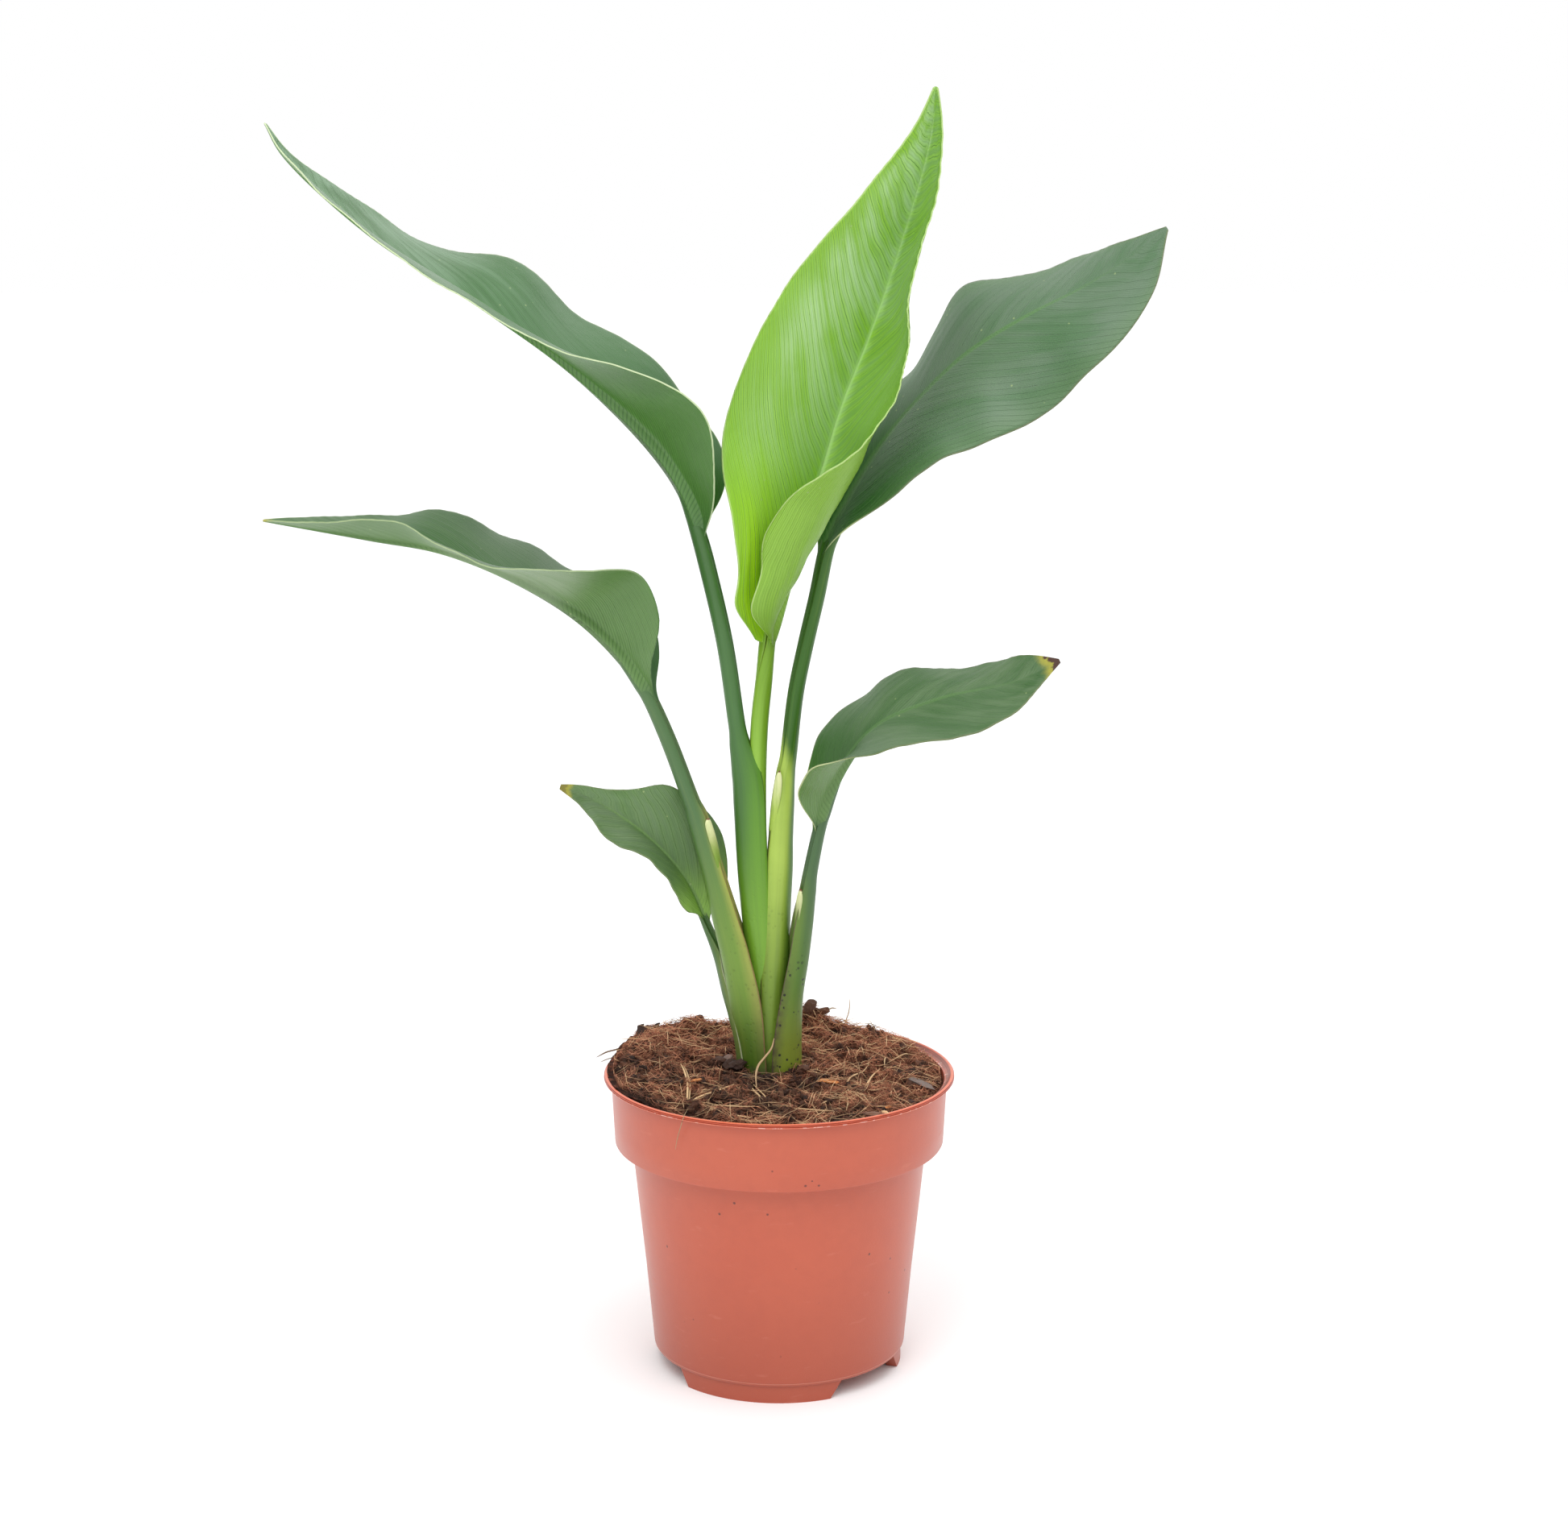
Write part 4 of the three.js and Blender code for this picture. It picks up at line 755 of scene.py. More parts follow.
def stalkMaterial(name, look):
    material, bench = newMaterial(name)
    around, climb, sheath, edge, inside = (
        bench.value(key) for key in ("around", "climb", "sheath", "edge", "inside"))
    turn = abs(around)
    place = bench.place()
    # long streaks up the stalk, clouds and fine grain
    streak = bench.cloud(bench.join(around * 9.0, climb * 1.6, look["veinEvery"]), 1.0)
    patch = bench.cloud(place, 60.0)
    blotch = bench.cloud(place, 340.0, 4.0)
    grain = bench.cloud(place, 1500.0, 2.0)
    upward = climb + (patch - 0.5) * 0.1
    thin = turn.rise(*look["wingFrom"]) * (upward - turn * 0.15).rise(*look["wingTop"])
    # a thin coloured line along the edges; lower down they dry out and stain
    line = (edge + (blotch - 0.5) * 0.5).rise(0.5, 0.2)
    stain = (edge + (blotch - 0.5) * 5.0).rise(4.0, 0.2) * upward.rise(0.75, 0.3) * look["stain"]
    chosen = bench.cloud(place, 230.0, 1.0).rise(0.46, 0.52)
    speck = (bench.cells(place, 520.0) + (blotch - 0.5) * 0.3).rise(0.3, 0.2)
    speck = speck * chosen * upward.rise(0.75, 0.45)
    dirt = (climb + (blotch - 0.5) * 0.12).rise(0.07, 0.0)
    colour = bench.layers(
        look["sheath"],
        (upward.rise(0.35, 1.05), look["stalk"]),
        (thin * (0.7 + patch * 0.5), look["wing"]),
        (upward.rise(*look["footFrom"]) * 0.85, look["foot"]),
        (streak.rise(0.45, 0.8) * 0.22, leafSkin["streak"]),
        (streak.rise(0.5, 0.25) * 0.12, look["wing"]),
        (line * (0.08 + sheath.rise(0.0, 0.4) * 0.62), look["line"]),
        (stain * (0.4 + blotch.rise(0.4, 0.6) * 0.6), leafSkin["stain"]),
        (speck * look["specks"], leafSkin["speck"]),
        (inside * sheath.rise(0.0, 0.3) * 0.6, look["wing"]),
        (dirt * 0.7, leafSkin["soil"]))
    bump = streak * 0.5 + grain * 0.1 - speck * 0.3 + line * 0.3
    roughness = 0.36 + patch * 0.12 + stain * 0.25 + dirt * 0.3
    surface(bench, colour, roughness, bump, 0.00014, {"Specular IOR Level": 0.5})
    return material


for leafName, leaf in leaves.items():
    young = "young_" if leafName == "centre" else ""
    look = {**plainLook, **looks[leafName]}
    blade = makeBlade(f"{leafName}_leaf_blade", leaf)
    dress(blade, bladeMaterial(f"{leafName}_blade_skin", look), f"{young}blade", f"{leafName}_blade")
    stalk = makeStalk(f"{leafName}_leaf_stalk", leaf)
    dress(stalk, stalkMaterial(f"{leafName}_stalk_skin", look), f"{young}stalk", f"{leafName}_stalk")
    if leafName in sheathTips:
        tip = makeTip(f"{leafName}_sheath_tip", sheathTips[leafName])
        dress(tip, tipMaterial(f"{leafName}_tip_skin", look), "stalk")
    print(f"{leafName}: {len(blade.data.polygons)} blade faces, {len(stalk.data.polygons)} stalk faces")


potShape = {
    "height": 103, "segments": 240, "wall": 1.3,
    "lipRadius": 60, "lipHeight": 1.5, "lipWidth": 1.3,
    "bandTop": 57.5, "bandBottom": 56.4, "bandEdge": 78.8,
    "shoulder": 50.6, "base": 43.5, "underside": 6,
    "pad": 20, "padHeight": 2,
    "footOuter": 42.4, "footInner": 38.6, "footSpan": 82, "footBevel": 6, "firstFoot": -101,
    "holes": 6, "holeRadius": 4, "holeCircle": 31,
}
# dark specks seen on the front of the pot: direction in degrees, height and radius
potSpecks = (
    (-107.0, 72.3, 0.6), (-94.3, 69.0, 0.5), (-142.0, 50.4, 0.6), (-50.9, 50.6, 0.6), (-37.6, 45.9, 0.5),
    (-22.3, 37.5, 0.6), (-36.0, 33.1, 0.5), (-81.2, 81.1, 0.5), (-76.7, 80.9, 0.45), (-79.0, 82.6, 0.35),
)


def makePot(name):
    p = potShape
    top = p["height"]
    under = p["underside"]
    lip = p["lipRadius"]
    lipUnder = top - p["lipHeight"]
    wall = p["wall"]
    # the wall's outline from the middle of the base, out, up, over the lip and down inside
    outline = [
        (0, p["padHeight"]), (12, p["padHeight"]), (p["pad"] - 0.6, p["padHeight"]),
        (p["pad"], p["padHeight"] + 0.3), (p["pad"] + 3.6, under - 0.4), (p["pad"] + 4.2, under),
        (p["footInner"], under), (p["footOuter"], under), (p["base"] - 0.5, under + 0.1),
        (p["base"] - 0.05, under + 0.7), (p["base"] + 0.1, under + 1.6),
        (p["base"] + 0.28, under + 4), (46.1, 35), (48.6, 58.6), (p["shoulder"] - 0.1, p["bandEdge"] - 1.4),
        (p["shoulder"] + 0.15, p["bandEdge"] - 0.4), (p["shoulder"] + 0.8, p["bandEdge"] + 0.1),
        (p["bandBottom"] - 0.9, p["bandEdge"]), (p["bandBottom"] - 0.25, p["bandEdge"] + 0.15),
        (p["bandBottom"], p["bandEdge"] + 0.6), (p["bandBottom"] + 0.35, 86), (p["bandTop"] - 0.2, 97),
        (p["bandTop"], lipUnder - 0.5), (p["bandTop"] + 0.4, lipUnder - 0.05), (lip - 0.8, lipUnder),
        (lip - 0.2, lipUnder + 0.14), (lip, lipUnder + 0.34), (lip - 0.03, lipUnder + 0.5),
        (lip - 0.3, lipUnder + 0.58), (lip - 0.28, lipUnder + 0.68), (lip - 0.08, lipUnder + 0.76),
        (lip - 0.06, lipUnder + 1.0), (lip - 0.35, lipUnder + 1.08), (lip - 0.35, lipUnder + 1.15),
        (lip - 0.22, lipUnder + 1.24), (lip - 0.4, top - 0.1), (lip - 0.7, top),
        (lip - p["lipWidth"] + 0.2, top),
        (lip - p["lipWidth"], top - 0.2), (lip - 2.1, top - 1.0), (p["bandTop"] - wall + 0.4, top - 1.8),
        (p["bandTop"] - wall, top - 3.2),
        (p["bandBottom"] - wall, p["bandEdge"] + wall + 1.2),
        (p["bandBottom"] - wall - 0.8, p["bandEdge"] + wall + 0.3),
        (p["shoulder"] - wall + 0.4, p["bandEdge"] + wall),
        (p["shoulder"] - wall, p["bandEdge"] + wall - 0.7),
        (p["base"] - wall, under + wall + 0.6), (p["base"] - wall - 0.6, under + wall),
        (p["pad"] + 3, under + wall), (p["pad"] - 1, p["padHeight"] + wall), (0, p["padHeight"] + wall),
    ]
    mesh = bmesh.new()
    angles = [2 * math.pi * i / p["segments"] for i in range(p["segments"])]
    rings = []
    for radius, z in outline:
        if radius == 0:
            rings.append([mesh.verts.new((0, 0, z))] * p["segments"])
        else:
            rings.append([mesh.verts.new((radius * math.cos(a), radius * math.sin(a), z)) for a in angles])
    footFaces = []
    for ring, (inner, outer) in enumerate(zip(rings, rings[1:])):
        for i in range(p["segments"]):
            j = (i + 1) % p["segments"]
            corners = [inner[i], inner[j], outer[j], outer[i]]
            face = mesh.faces.new(list(dict.fromkeys(corners)))
            onFootRing = outline[ring][0] == p["footInner"] and outline[ring + 1][0] == p["footOuter"]
            middle = math.degrees(angles[i]) + 180 / p["segments"]
            for foot in range(3):
                away = (middle - p["firstFoot"] - 120 * foot + 180) % 360 - 180
                if onFootRing and abs(away) < p["footSpan"] / 2:
                    footFaces.append((face, p["firstFoot"] + 120 * foot))
    bmesh.ops.recalc_face_normals(mesh, faces=mesh.faces)
    # each foot is drawn down from the base, and its ends lean in
    direction = {face: middle for face, middle in footFaces}
    grown = bmesh.ops.extrude_face_region(mesh, geom=list(direction))
    newVerts = [item for item in grown["geom"] if isinstance(item, bmesh.types.BMVert)]
    for vert in newVerts:
        around = math.degrees(math.atan2(vert.co.y, vert.co.x))
        radius = math.hypot(vert.co.x, vert.co.y)
        for foot in range(3):
            middle = p["firstFoot"] + 120 * foot
            away = (around - middle + 180) % 360 - 180
            if abs(away) <= p["footSpan"] / 2 + 1:
                lean = away * (1 - p["footBevel"] / (p["footSpan"] / 2))
                turned = math.radians(middle + lean)
                vert.co = (radius * math.cos(turned), radius * math.sin(turned), 0)
    bmesh.ops.delete(mesh, geom=list(direction), context="FACES_ONLY")
    bmesh.ops.recalc_face_normals(mesh, faces=mesh.faces)
    for vert in mesh.verts:
        vert.co *= metre
    data = bpy.data.meshes.new(name)
    mesh.to_mesh(data)
    mesh.free()
    piece = bpy.data.objects.new(name, data)
    bpy.context.scene.collection.objects.link(piece)
    return piece


def applied(piece):
    # the piece with its modifiers worked out into one plain mesh
    graph = bpy.context.evaluated_depsgraph_get()
    data = bpy.data.meshes.new_from_object(piece.evaluated_get(graph))
    piece.modifiers.clear()
    old = piece.data
    piece.data = data
    bpy.data.meshes.remove(old)
    return piece


def boreHoles(piece):
    p = potShape
    drill = bmesh.new()
    for i in range(p["holes"]):
        around = 2 * math.pi * i / p["holes"]
        made = bmesh.ops.create_cone(drill, cap_ends=True, segments=32, radius1=p["holeRadius"] * metre,
                                     radius2=p["holeRadius"] * metre, depth=6 * metre)
        shift = Vector((p["holeCircle"] * math.cos(around), p["holeCircle"] * math.sin(around), 6.6)) * metre
        bmesh.ops.translate(drill, verts=made["verts"], vec=shift)
    data = bpy.data.meshes.new("drill")
    drill.to_mesh(data)
    drill.free()
    cutter = bpy.data.objects.new("drill", data)
    bpy.context.scene.collection.objects.link(cutter)
    cut = piece.modifiers.new("holes", "BOOLEAN")
    cut.operation = "DIFFERENCE"
    cut.object = cutter
    cut.solver = "EXACT"
    applied(piece)
    bpy.data.objects.remove(cutter)
    bpy.data.meshes.remove(data)


def potMaterial():
    material, bench = newMaterial("terracotta_plastic")
    place = bench.place()
    height = bench.axis(place, "Z")
    flat = bench.vector("MULTIPLY", place, (1.0, 1.0, 0.0))
    patch = bench.cloud(place, 22.0)
    mottle = bench.cloud(place, 240.0)
    grain = bench.cloud(place, 2600.0, 2.0)
    # the bead lip is lighter on top and along a pale line, partly wear and partly painted highlight, with two
    # grooves painted dark as painted shade, and a pale, nicked lower edge
    wearAndHighlight = (mottle + patch * 0.5).rise(0.5, 0.9)
    nick = bench.cloud(place, 420.0, 2.0).rise(0.56, 0.62)
    # the inside of the wall, told from its outside by the middle of the wall, gets soil dust and painted
    # shade
    outward = bench.vector("LENGTH", flat, output="Value")
    middle = height * 0.05 + 0.0517 + height.rise(0.1014, 0.1018) * 0.0018
    insideDustAndShade = (outward - middle).rise(0.0002, -0.0002) * height.rise(0.08, 0.09)
    # a faint moulding line just above the foot, and a few dark specks
    seam = abs(height - 0.0071).rise(0.00025, 0.00005)
    speck = bench.cells(place, 130.0).rise(0.075, 0.04) * bench.cloud(place, 55.0, 2.0).rise(0.6, 0.64)
    # the wall rolled onto a cylinder, so that a speck needs no radius of its own
    reach = 0.05
    rolled = bench.vector("MULTIPLY_ADD", bench.vector("NORMALIZE", flat), (reach, reach, reach),
                          bench.join(0.0, 0.0, height))
    for turn, z, size in potSpecks:
        a = math.radians(turn)
        spot = (reach * math.cos(a), reach * math.sin(a), z * metre)
        away = bench.vector("DISTANCE", rolled, spot, output="Value")
        speck = bench.math("MAXIMUM", speck, away.rise(size * metre, size * metre * 0.5))
    scuff = bench.cloud(bench.vector("MULTIPLY", place, (1.0, 1.0, 4.0)), 90.0, 5.0).rise(0.62, 0.75)
    colour = bench.layers(
        tone(184, 81, 53),
        (patch.rise(0.35, 0.7) * 0.5, tone(192, 90, 61)),
        (mottle.rise(0.4, 0.7) * 0.12, tone(164, 70, 48)),
        # painted shade: darker toward the bottom
        (height.rise(0.06, 0.0) * 0.6, tone(151, 64, 39)),
        (height.rise(0.1011, 0.1014) * 0.9, tone(204, 84, 50)),
        # a pale line and a bright top, partly wear and partly painted highlight, and two dark lines painted
        # as shade in the grooves
        (abs(height - 0.1017).rise(0.0003, 0.0001) * (0.25 + wearAndHighlight * 0.5), tone(232, 150, 124)),
        (abs(height - 0.10213).rise(0.00024, 0.00006) * 0.75, tone(146, 48, 28)),
        (abs(height - 0.10262).rise(0.00024, 0.00006) * 0.75, tone(146, 48, 28)),
        (height.rise(0.1027, 0.1029) * (0.5 + wearAndHighlight * 0.4), tone(224, 112, 76)),
        (abs(height - 0.1016).rise(0.0005, 0.0002) * nick * 0.7, tone(244, 206, 192)),
        # the inside of the wall: soil dust, then painted shade that deepens down from the lip toward the soil
        (insideDustAndShade * (0.45 + mottle.rise(0.35, 0.6) * 0.35), tone(112, 52, 36)),
        (insideDustAndShade * (height + mottle * 0.004).rise(0.1025, 0.0995) * 0.8, tone(66, 36, 28)),
        (seam * 0.35, tone(226, 150, 126)),
        (speck * 0.85, tone(92, 40, 30)),
        (scuff * 0.1, tone(228, 158, 138)))
    bump = grain * 0.3 + patch * 0.5 + speck * 0.6 - seam * 0.5
    roughness = 0.4 + patch * 0.1 + scuff * 0.12
    surface(bench, colour, roughness, bump, 0.00012, {
        "Specular IOR Level": 0.5, "Coat Weight": 0.35, "Coat Roughness": 0.22})
    return material


pot = makePot("nursery_pot")
boreHoles(pot)
for polygon in pot.data.polygons:
    polygon.use_smooth = True
pot.data.set_sharp_from_angle(angle=math.radians(38))
dress(pot, potMaterial(), "pot", "pot")
print(f"pot: {len(pot.data.polygons)} faces")


soilShape = {
    "top": 99.8, "rise": 5.0, "collar": 1.8, "leftRise": 4.4, "edgeRadius": 56.2, "leftReach": 2.7,
    "lumps": ((12, 44, 6.5, 6), (-31, 37, 3.0, 7), (-45, 24, 1.6, 6), (33, -8, -1.6, 7), (44, -22, -2.2, 6),
              (-26, -28, -2.0, 7), (8, -30, 1.0, 9), (9, -3, 2.6, 4.5), (-14, -1, 2.2, 4)),
    "darkeningSpot": (-0.004, -0.014, 0.103),
    "rings": 104, "sides": 320, "drawnIn": 55.8, "drawnInUnder": 101.0,
    "coarse": 2.4, "fine": 1.7,
    # the same clouds place the painted-shade hollows and the light tufts, in the soil's colour and its fibres
    "cloudScale": 125.0, "paintedHollowShade": 0.44, "tuft": 0.56,
}
crown = (-3.6, 6.0)


def soilHeight(x, y):
    s = soilShape
    edge = float(ease(math.hypot(x, y), 46, 55))
    waves = 0.9 * math.sin(0.31 * x + 0.9) * math.cos(0.27 * y) + 0.6 * math.sin(0.63 * y + 0.41 * x)
    height = s["top"] + s["rise"] * float(ease(y, -10, 45))
    height += s["collar"] * math.exp(-((math.hypot(x - crown[0], y - crown[1]) / 20) ** 2))
    height += s["leftRise"] * float(ease(-x, 15, 50))
    for lumpX, lumpY, lumpHeight, lumpRadius in s["lumps"]:
        height += lumpHeight * math.exp(-((math.hypot(x - lumpX, y - lumpY) / lumpRadius) ** 2))
    return height + waves * (1 - 0.5 * edge) - 1.2 * edge


def roughHeight(x, y):
    s = soilShape
    coarse = noise.fractal(Vector((x / 7, y / 7, 3.1)), 0.9, 2.1, 3)
    fine = noise.fractal(Vector((x / 2.2, y / 2.2, 7.7)), 0.8, 2.2, 4)
    calm = 1 - 0.75 * float(ease(math.hypot(x, y), 49, 56))
    return min(soilHeight(x, y) + (s["coarse"] * coarse + s["fine"] * fine) * calm, 117)


def makeSoil(name):
    s = soilShape
    points = [(0.0, 0.0, roughHeight(0, 0))]
    for i in range(s["rings"]):
        share = ((i + 1) / s["rings"]) ** 0.8
        for j in range(s["sides"]):
            a = 2 * math.pi * j / s["sides"]
            radius = share * (s["edgeRadius"] + s["leftReach"] * float(ease(-math.cos(a), 0.6, 0.95)))
            x = radius * math.cos(a)
            y = radius * math.sin(a)
            points.append((x, y, roughHeight(x, y)))
    # under its edge it is drawn in to the wall; the sides and the underside lie against the pot
    for x, y, z in points[-s["sides"]:]:
        inward = s["drawnIn"] / math.hypot(x, y)
        points.append((x * inward, y * inward, min(z - 0.3, s["drawnInUnder"])))
    for radius, z in ((54.4, 81.5), (48.1, 80.6), (48.0, 79.4), (41.8, 7.7), (23.0, 7.7), (18.8, 3.7)):
        for j in range(s["sides"]):
            a = 2 * math.pi * j / s["sides"]
            points.append((radius * math.cos(a), radius * math.sin(a), z))
    points.append((0.0, 0.0, 3.7))
    faces = []
    total = s["rings"] + 7
    for j in range(s["sides"]):
        k = (j + 1) % s["sides"]
        faces.append((0, 1 + j, 1 + k))
        for i in range(total - 1):
            a = 1 + i * s["sides"]
            b = a + s["sides"]
            faces.append((a + j, b + j, b + k, a + k))
        last = 1 + (total - 1) * s["sides"]
        faces.append((last + k, last + j, len(points) - 1))
    return makePiece(name, points, faces)


def soilClouds(bench, place):
    # 0 in the soil's hollows, which are painted dark as painted shade, and 1 on its light tufts; it is
    # painted lighter at the back and on the right as painted light, and darker in front of the stalks
    frontDarkening = bench.vector("DISTANCE", place, soilShape["darkeningSpot"], output="Value").rise(0.026, 0.01)
    # painted light: lighter at the back and on the right; darker in front of the stalks
    dryTipsAndPaintedLight = bench.axis(place, "X").rise(-0.01, 0.03) * 0.025 + bench.axis(place, "Y").rise(-0.01, 0.03) * 0.09
    dryTipsAndPaintedLight = dryTipsAndPaintedLight - frontDarkening * 0.07
    return (bench.cloud(place, soilShape["cloudScale"]) + dryTipsAndPaintedLight).rise(soilShape["paintedHollowShade"], soilShape["tuft"])


def soilMaterial():
    material, bench = newMaterial("coir_soil")
    place = bench.place()
    coarse = bench.cloud(place, 110.0, 4.0)
    medium = bench.cloud(place, 480.0, 5.0, 0.65)
    fine = bench.cloud(place, 1700.0, 4.0, 0.65)
    # matted fibres: two sets of stretched noise that cross each other
    mat = None
    for turn, stretch in ((0.7, (1.0, 9.0, 4.0)), (-0.9, (9.0, 1.0, 4.0))):
        laid = bench.add("ShaderNodeMapping", sockets={
            "Vector": place, "Rotation": (0.0, 0.0, turn), "Scale": stretch})
        strands = bench.cloud(laid, 230.0, 4.0).rise(0.48, 0.7)
        mat = strands if mat is None else mat + strands
    tufts = soilClouds(bench, place)
    colour = bench.layers(
        tone(34, 18, 14),
        (medium.rise(0.36, 0.66), tone(124, 70, 53)),
        (coarse.rise(0.5, 0.66) * 0.4, tone(150, 94, 68)),
        (mat * 0.35, tone(178, 120, 88)),
        (fine.rise(0.58, 0.7) * 0.6, tone(16, 9, 8)),
        # painted shade: the hollows darkened
        ((1 - tufts) * 0.75, tone(24, 13, 10)))
    bump = medium * 0.6 + fine * 0.5 + mat * 0.4
    surface(bench, colour, 0.85 + fine * 0.1, bump, 0.0013, {"Specular IOR Level": 0.2})
    return material


def rootMaterial():
    # fleshy cream roots with fine rings, hidden in the soil
    material, bench = newMaterial("fleshy_root")
    place = bench.place()
    patch = bench.cloud(place, 160.0, 3.0)
    rings = bench.cloud(bench.vector("MULTIPLY", place, (0.3, 0.3, 3.0)), 700.0, 3.0)
    colour = bench.layers(
        tone(190, 150, 96),
        (patch.rise(0.35, 0.65), tone(222, 196, 146)),
        (rings.rise(0.5, 0.7) * 0.4, tone(150, 110, 70)))
    surface(bench, colour, 0.6 + patch * 0.15, rings, 0.0002, {"Specular IOR Level": 0.4})
    return material


soil = makeSoil("coir_bed")
dress(soil, soilMaterial(), "soil", "soil")
rootSkin = rootMaterial()
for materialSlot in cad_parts["crown_and_roots"].material_slots:
    materialSlot.material = rootSkin
print(f"soil: {len(soil.data.polygons)} faces")


fibreKinds = {
    "brown_fibres": {
        "density": 1150000.0, "length": (0.0014, 0.0042), "radius": 0.000085, "curl": 0.0005,
        "curlScale": 190.0, "lift": 0.0012, "hug": 0.9, "steps": 3, "sides": 3,
        "tilt": 0.9, "seed": 11, "cover": 0.2, "back": 1.0,
        "dark": tone(64, 36, 27), "light": tone(206, 134, 103),
    },
    "chestnut_fibres": {
        "density": 540000.0, "length": (0.0025, 0.007), "radius": 0.00009, "curl": 0.0009,
        "curlScale": 100.0, "lift": 0.002, "hug": 0.8, "steps": 5, "sides": 3,
        "tilt": 0.7, "seed": 17, "cover": 0.2, "back": 1.0,
        "dark": tone(112, 63, 45), "light": tone(226, 157, 121),
    },
    "tan_fibres": {
        "density": 110000.0, "length": (0.005, 0.013), "radius": 0.0001, "curl": 0.001,
        "curlScale": 46.0, "lift": 0.0028, "hug": 0.7, "steps": 8, "sides": 4,
        "tilt": 0.5, "seed": 23, "cover": 0.3, "back": 0.6,
        "dark": tone(176, 122, 86), "light": tone(240, 200, 154),
    },
    "standing_fibres": {
        "density": 80000.0, "length": (0.003, 0.008), "radius": 0.00008, "curl": 0.001,
        "curlScale": 80.0, "lift": 0.001, "hug": 1.0, "steps": 6, "sides": 3,
        "tilt": 1.3, "seed": 37, "cover": 0.8, "back": 1.0,
        "dark": tone(84, 50, 36), "light": tone(204, 152, 114),
    },
}
# where fibres and crumbs may lie, in metres; fibres reach a little further out on the left
growLimits = {
    "leastUpward": 0.2, "fibreLowest": 0.09, "crumbLowest": 0.0975, "crumbReach": 0.0548,
    "fibreReach": 0.0555, "leftMore": 0.0012, "leftFrom": -0.049, "above": 0.13,
}
crumbs = {
    "density": 420000.0, "size": (0.0005, 0.0019), "seed": 5,
    "dark": tone(30, 18, 14), "light": tone(134, 86, 62),
}


def strandMaterial(name, kind):
    material, bench = newMaterial(name)
    pick = bench.value("pick")
    place = bench.place()
    patch = bench.cloud(place, 900.0, 3.0)
    # painted light: lighter toward the back
    dryTipsAndPaintedLight = bench.axis(place, "Y").rise(0.005, 0.035) * 0.16
    # painted shade: fibres in the soil's hollows are darkened
    paintedHollowShade = (1 - soilClouds(bench, place)) * (0.78 - pick * 0.3) * kind.get("paintedHollowShade", 1.0)
    colour = bench.layers(
        kind["dark"],
        (pick * 0.75 + patch * 0.25 + dryTipsAndPaintedLight, kind["light"]),
        (patch.rise(0.55, 0.75) * 0.4, kind["dark"]),
        (paintedHollowShade, tone(30, 17, 13)))
    surface(bench, colour, 0.62 + patch * 0.2, patch, 0.00008, {"Specular IOR Level": 0.3})
    return material


def newTree(name, numbers):
    # a node tree with a geometry input and one named input for each number
    tree = bpy.data.node_groups.new(name, "GeometryNodeTree")
    tree.interface.new_socket("Geometry", in_out="INPUT", socket_type="NodeSocketGeometry")
    for key, value in numbers.items():
        kind = "NodeSocketInt" if isinstance(value, int) else "NodeSocketFloat"
        tree.interface.new_socket(key, in_out="INPUT", socket_type=kind)
    tree.interface.new_socket("Geometry", in_out="OUTPUT", socket_type="NodeSocketGeometry")
    bench = Bench(tree)
    entry = tree.nodes.new("NodeGroupInput")
    given = {key: Wire(bench, entry.outputs[key]) for key in ("Geometry", *numbers)}
    return tree, bench, given


def grow(name, base, tree, numbers, material):
    # runs a node tree on the soil's surface and keeps the result as a plain mesh
    host = bpy.data.objects.new(name, base.data.copy())
    bpy.context.scene.collection.objects.link(host)
    modifier = host.modifiers.new(name, "NODES")
    modifier.node_group = tree
    for item in tree.interface.items_tree:
        if item.in_out == "INPUT" and item.name in numbers:
            modifier[item.identifier] = numbers[item.name]
    host.data.update_tag()
    applied(host)
    dress(host, material, "soil")
    print(f"{name}: {len(host.data.polygons)} faces")
    return host


def randomValue(bench, low, high, seed):
    return bench.add("FunctionNodeRandomValue", {"data_type": "FLOAT"}, {2: low, 3: high, "Seed": seed}, 1)


def openGround(bench, spot, lowest):
    # 1 on the open surface of the soil and 0 elsewhere
    upward = bench.axis(bench.add("GeometryNodeInputNormal"), "Z")
    return (bench.math("GREATER_THAN", upward, growLimits["leastUpward"])
            * bench.math("GREATER_THAN", bench.axis(spot, "Z"), lowest))


def scatter(bench, given, density, shape, turn, scale, seed):
    # copies of a shape on random points of the soil, each with a number of its own
    spread = bench.add("GeometryNodeDistributePointsOnFaces", {"distribute_method": "RANDOM"},
                       {"Mesh": given["Geometry"], "Density": density, "Seed": given["Seed"]})
    placed = bench.add("GeometryNodeInstanceOnPoints", {}, {
        "Points": spread, "Instance": shape, "Rotation": turn, "Scale": scale})
    picked = bench.add("GeometryNodeStoreNamedAttribute", {"data_type": "FLOAT", "domain": "INSTANCE"},
                       {"Geometry": placed, "Name": "pick", "Value": randomValue(bench, 0.0, 1.0, seed)})
    return bench.add("GeometryNodeRealizeInstances", sockets={0: picked})


def closeTree(bench, geometry, material):
    final = bench.add("GeometryNodeSetMaterial", {}, {"Geometry": geometry, "Material": material})
    exitNode = bench.tree.nodes.new("NodeGroupOutput")
    bench.tree.links.new(final.socket, exitNode.inputs[0])


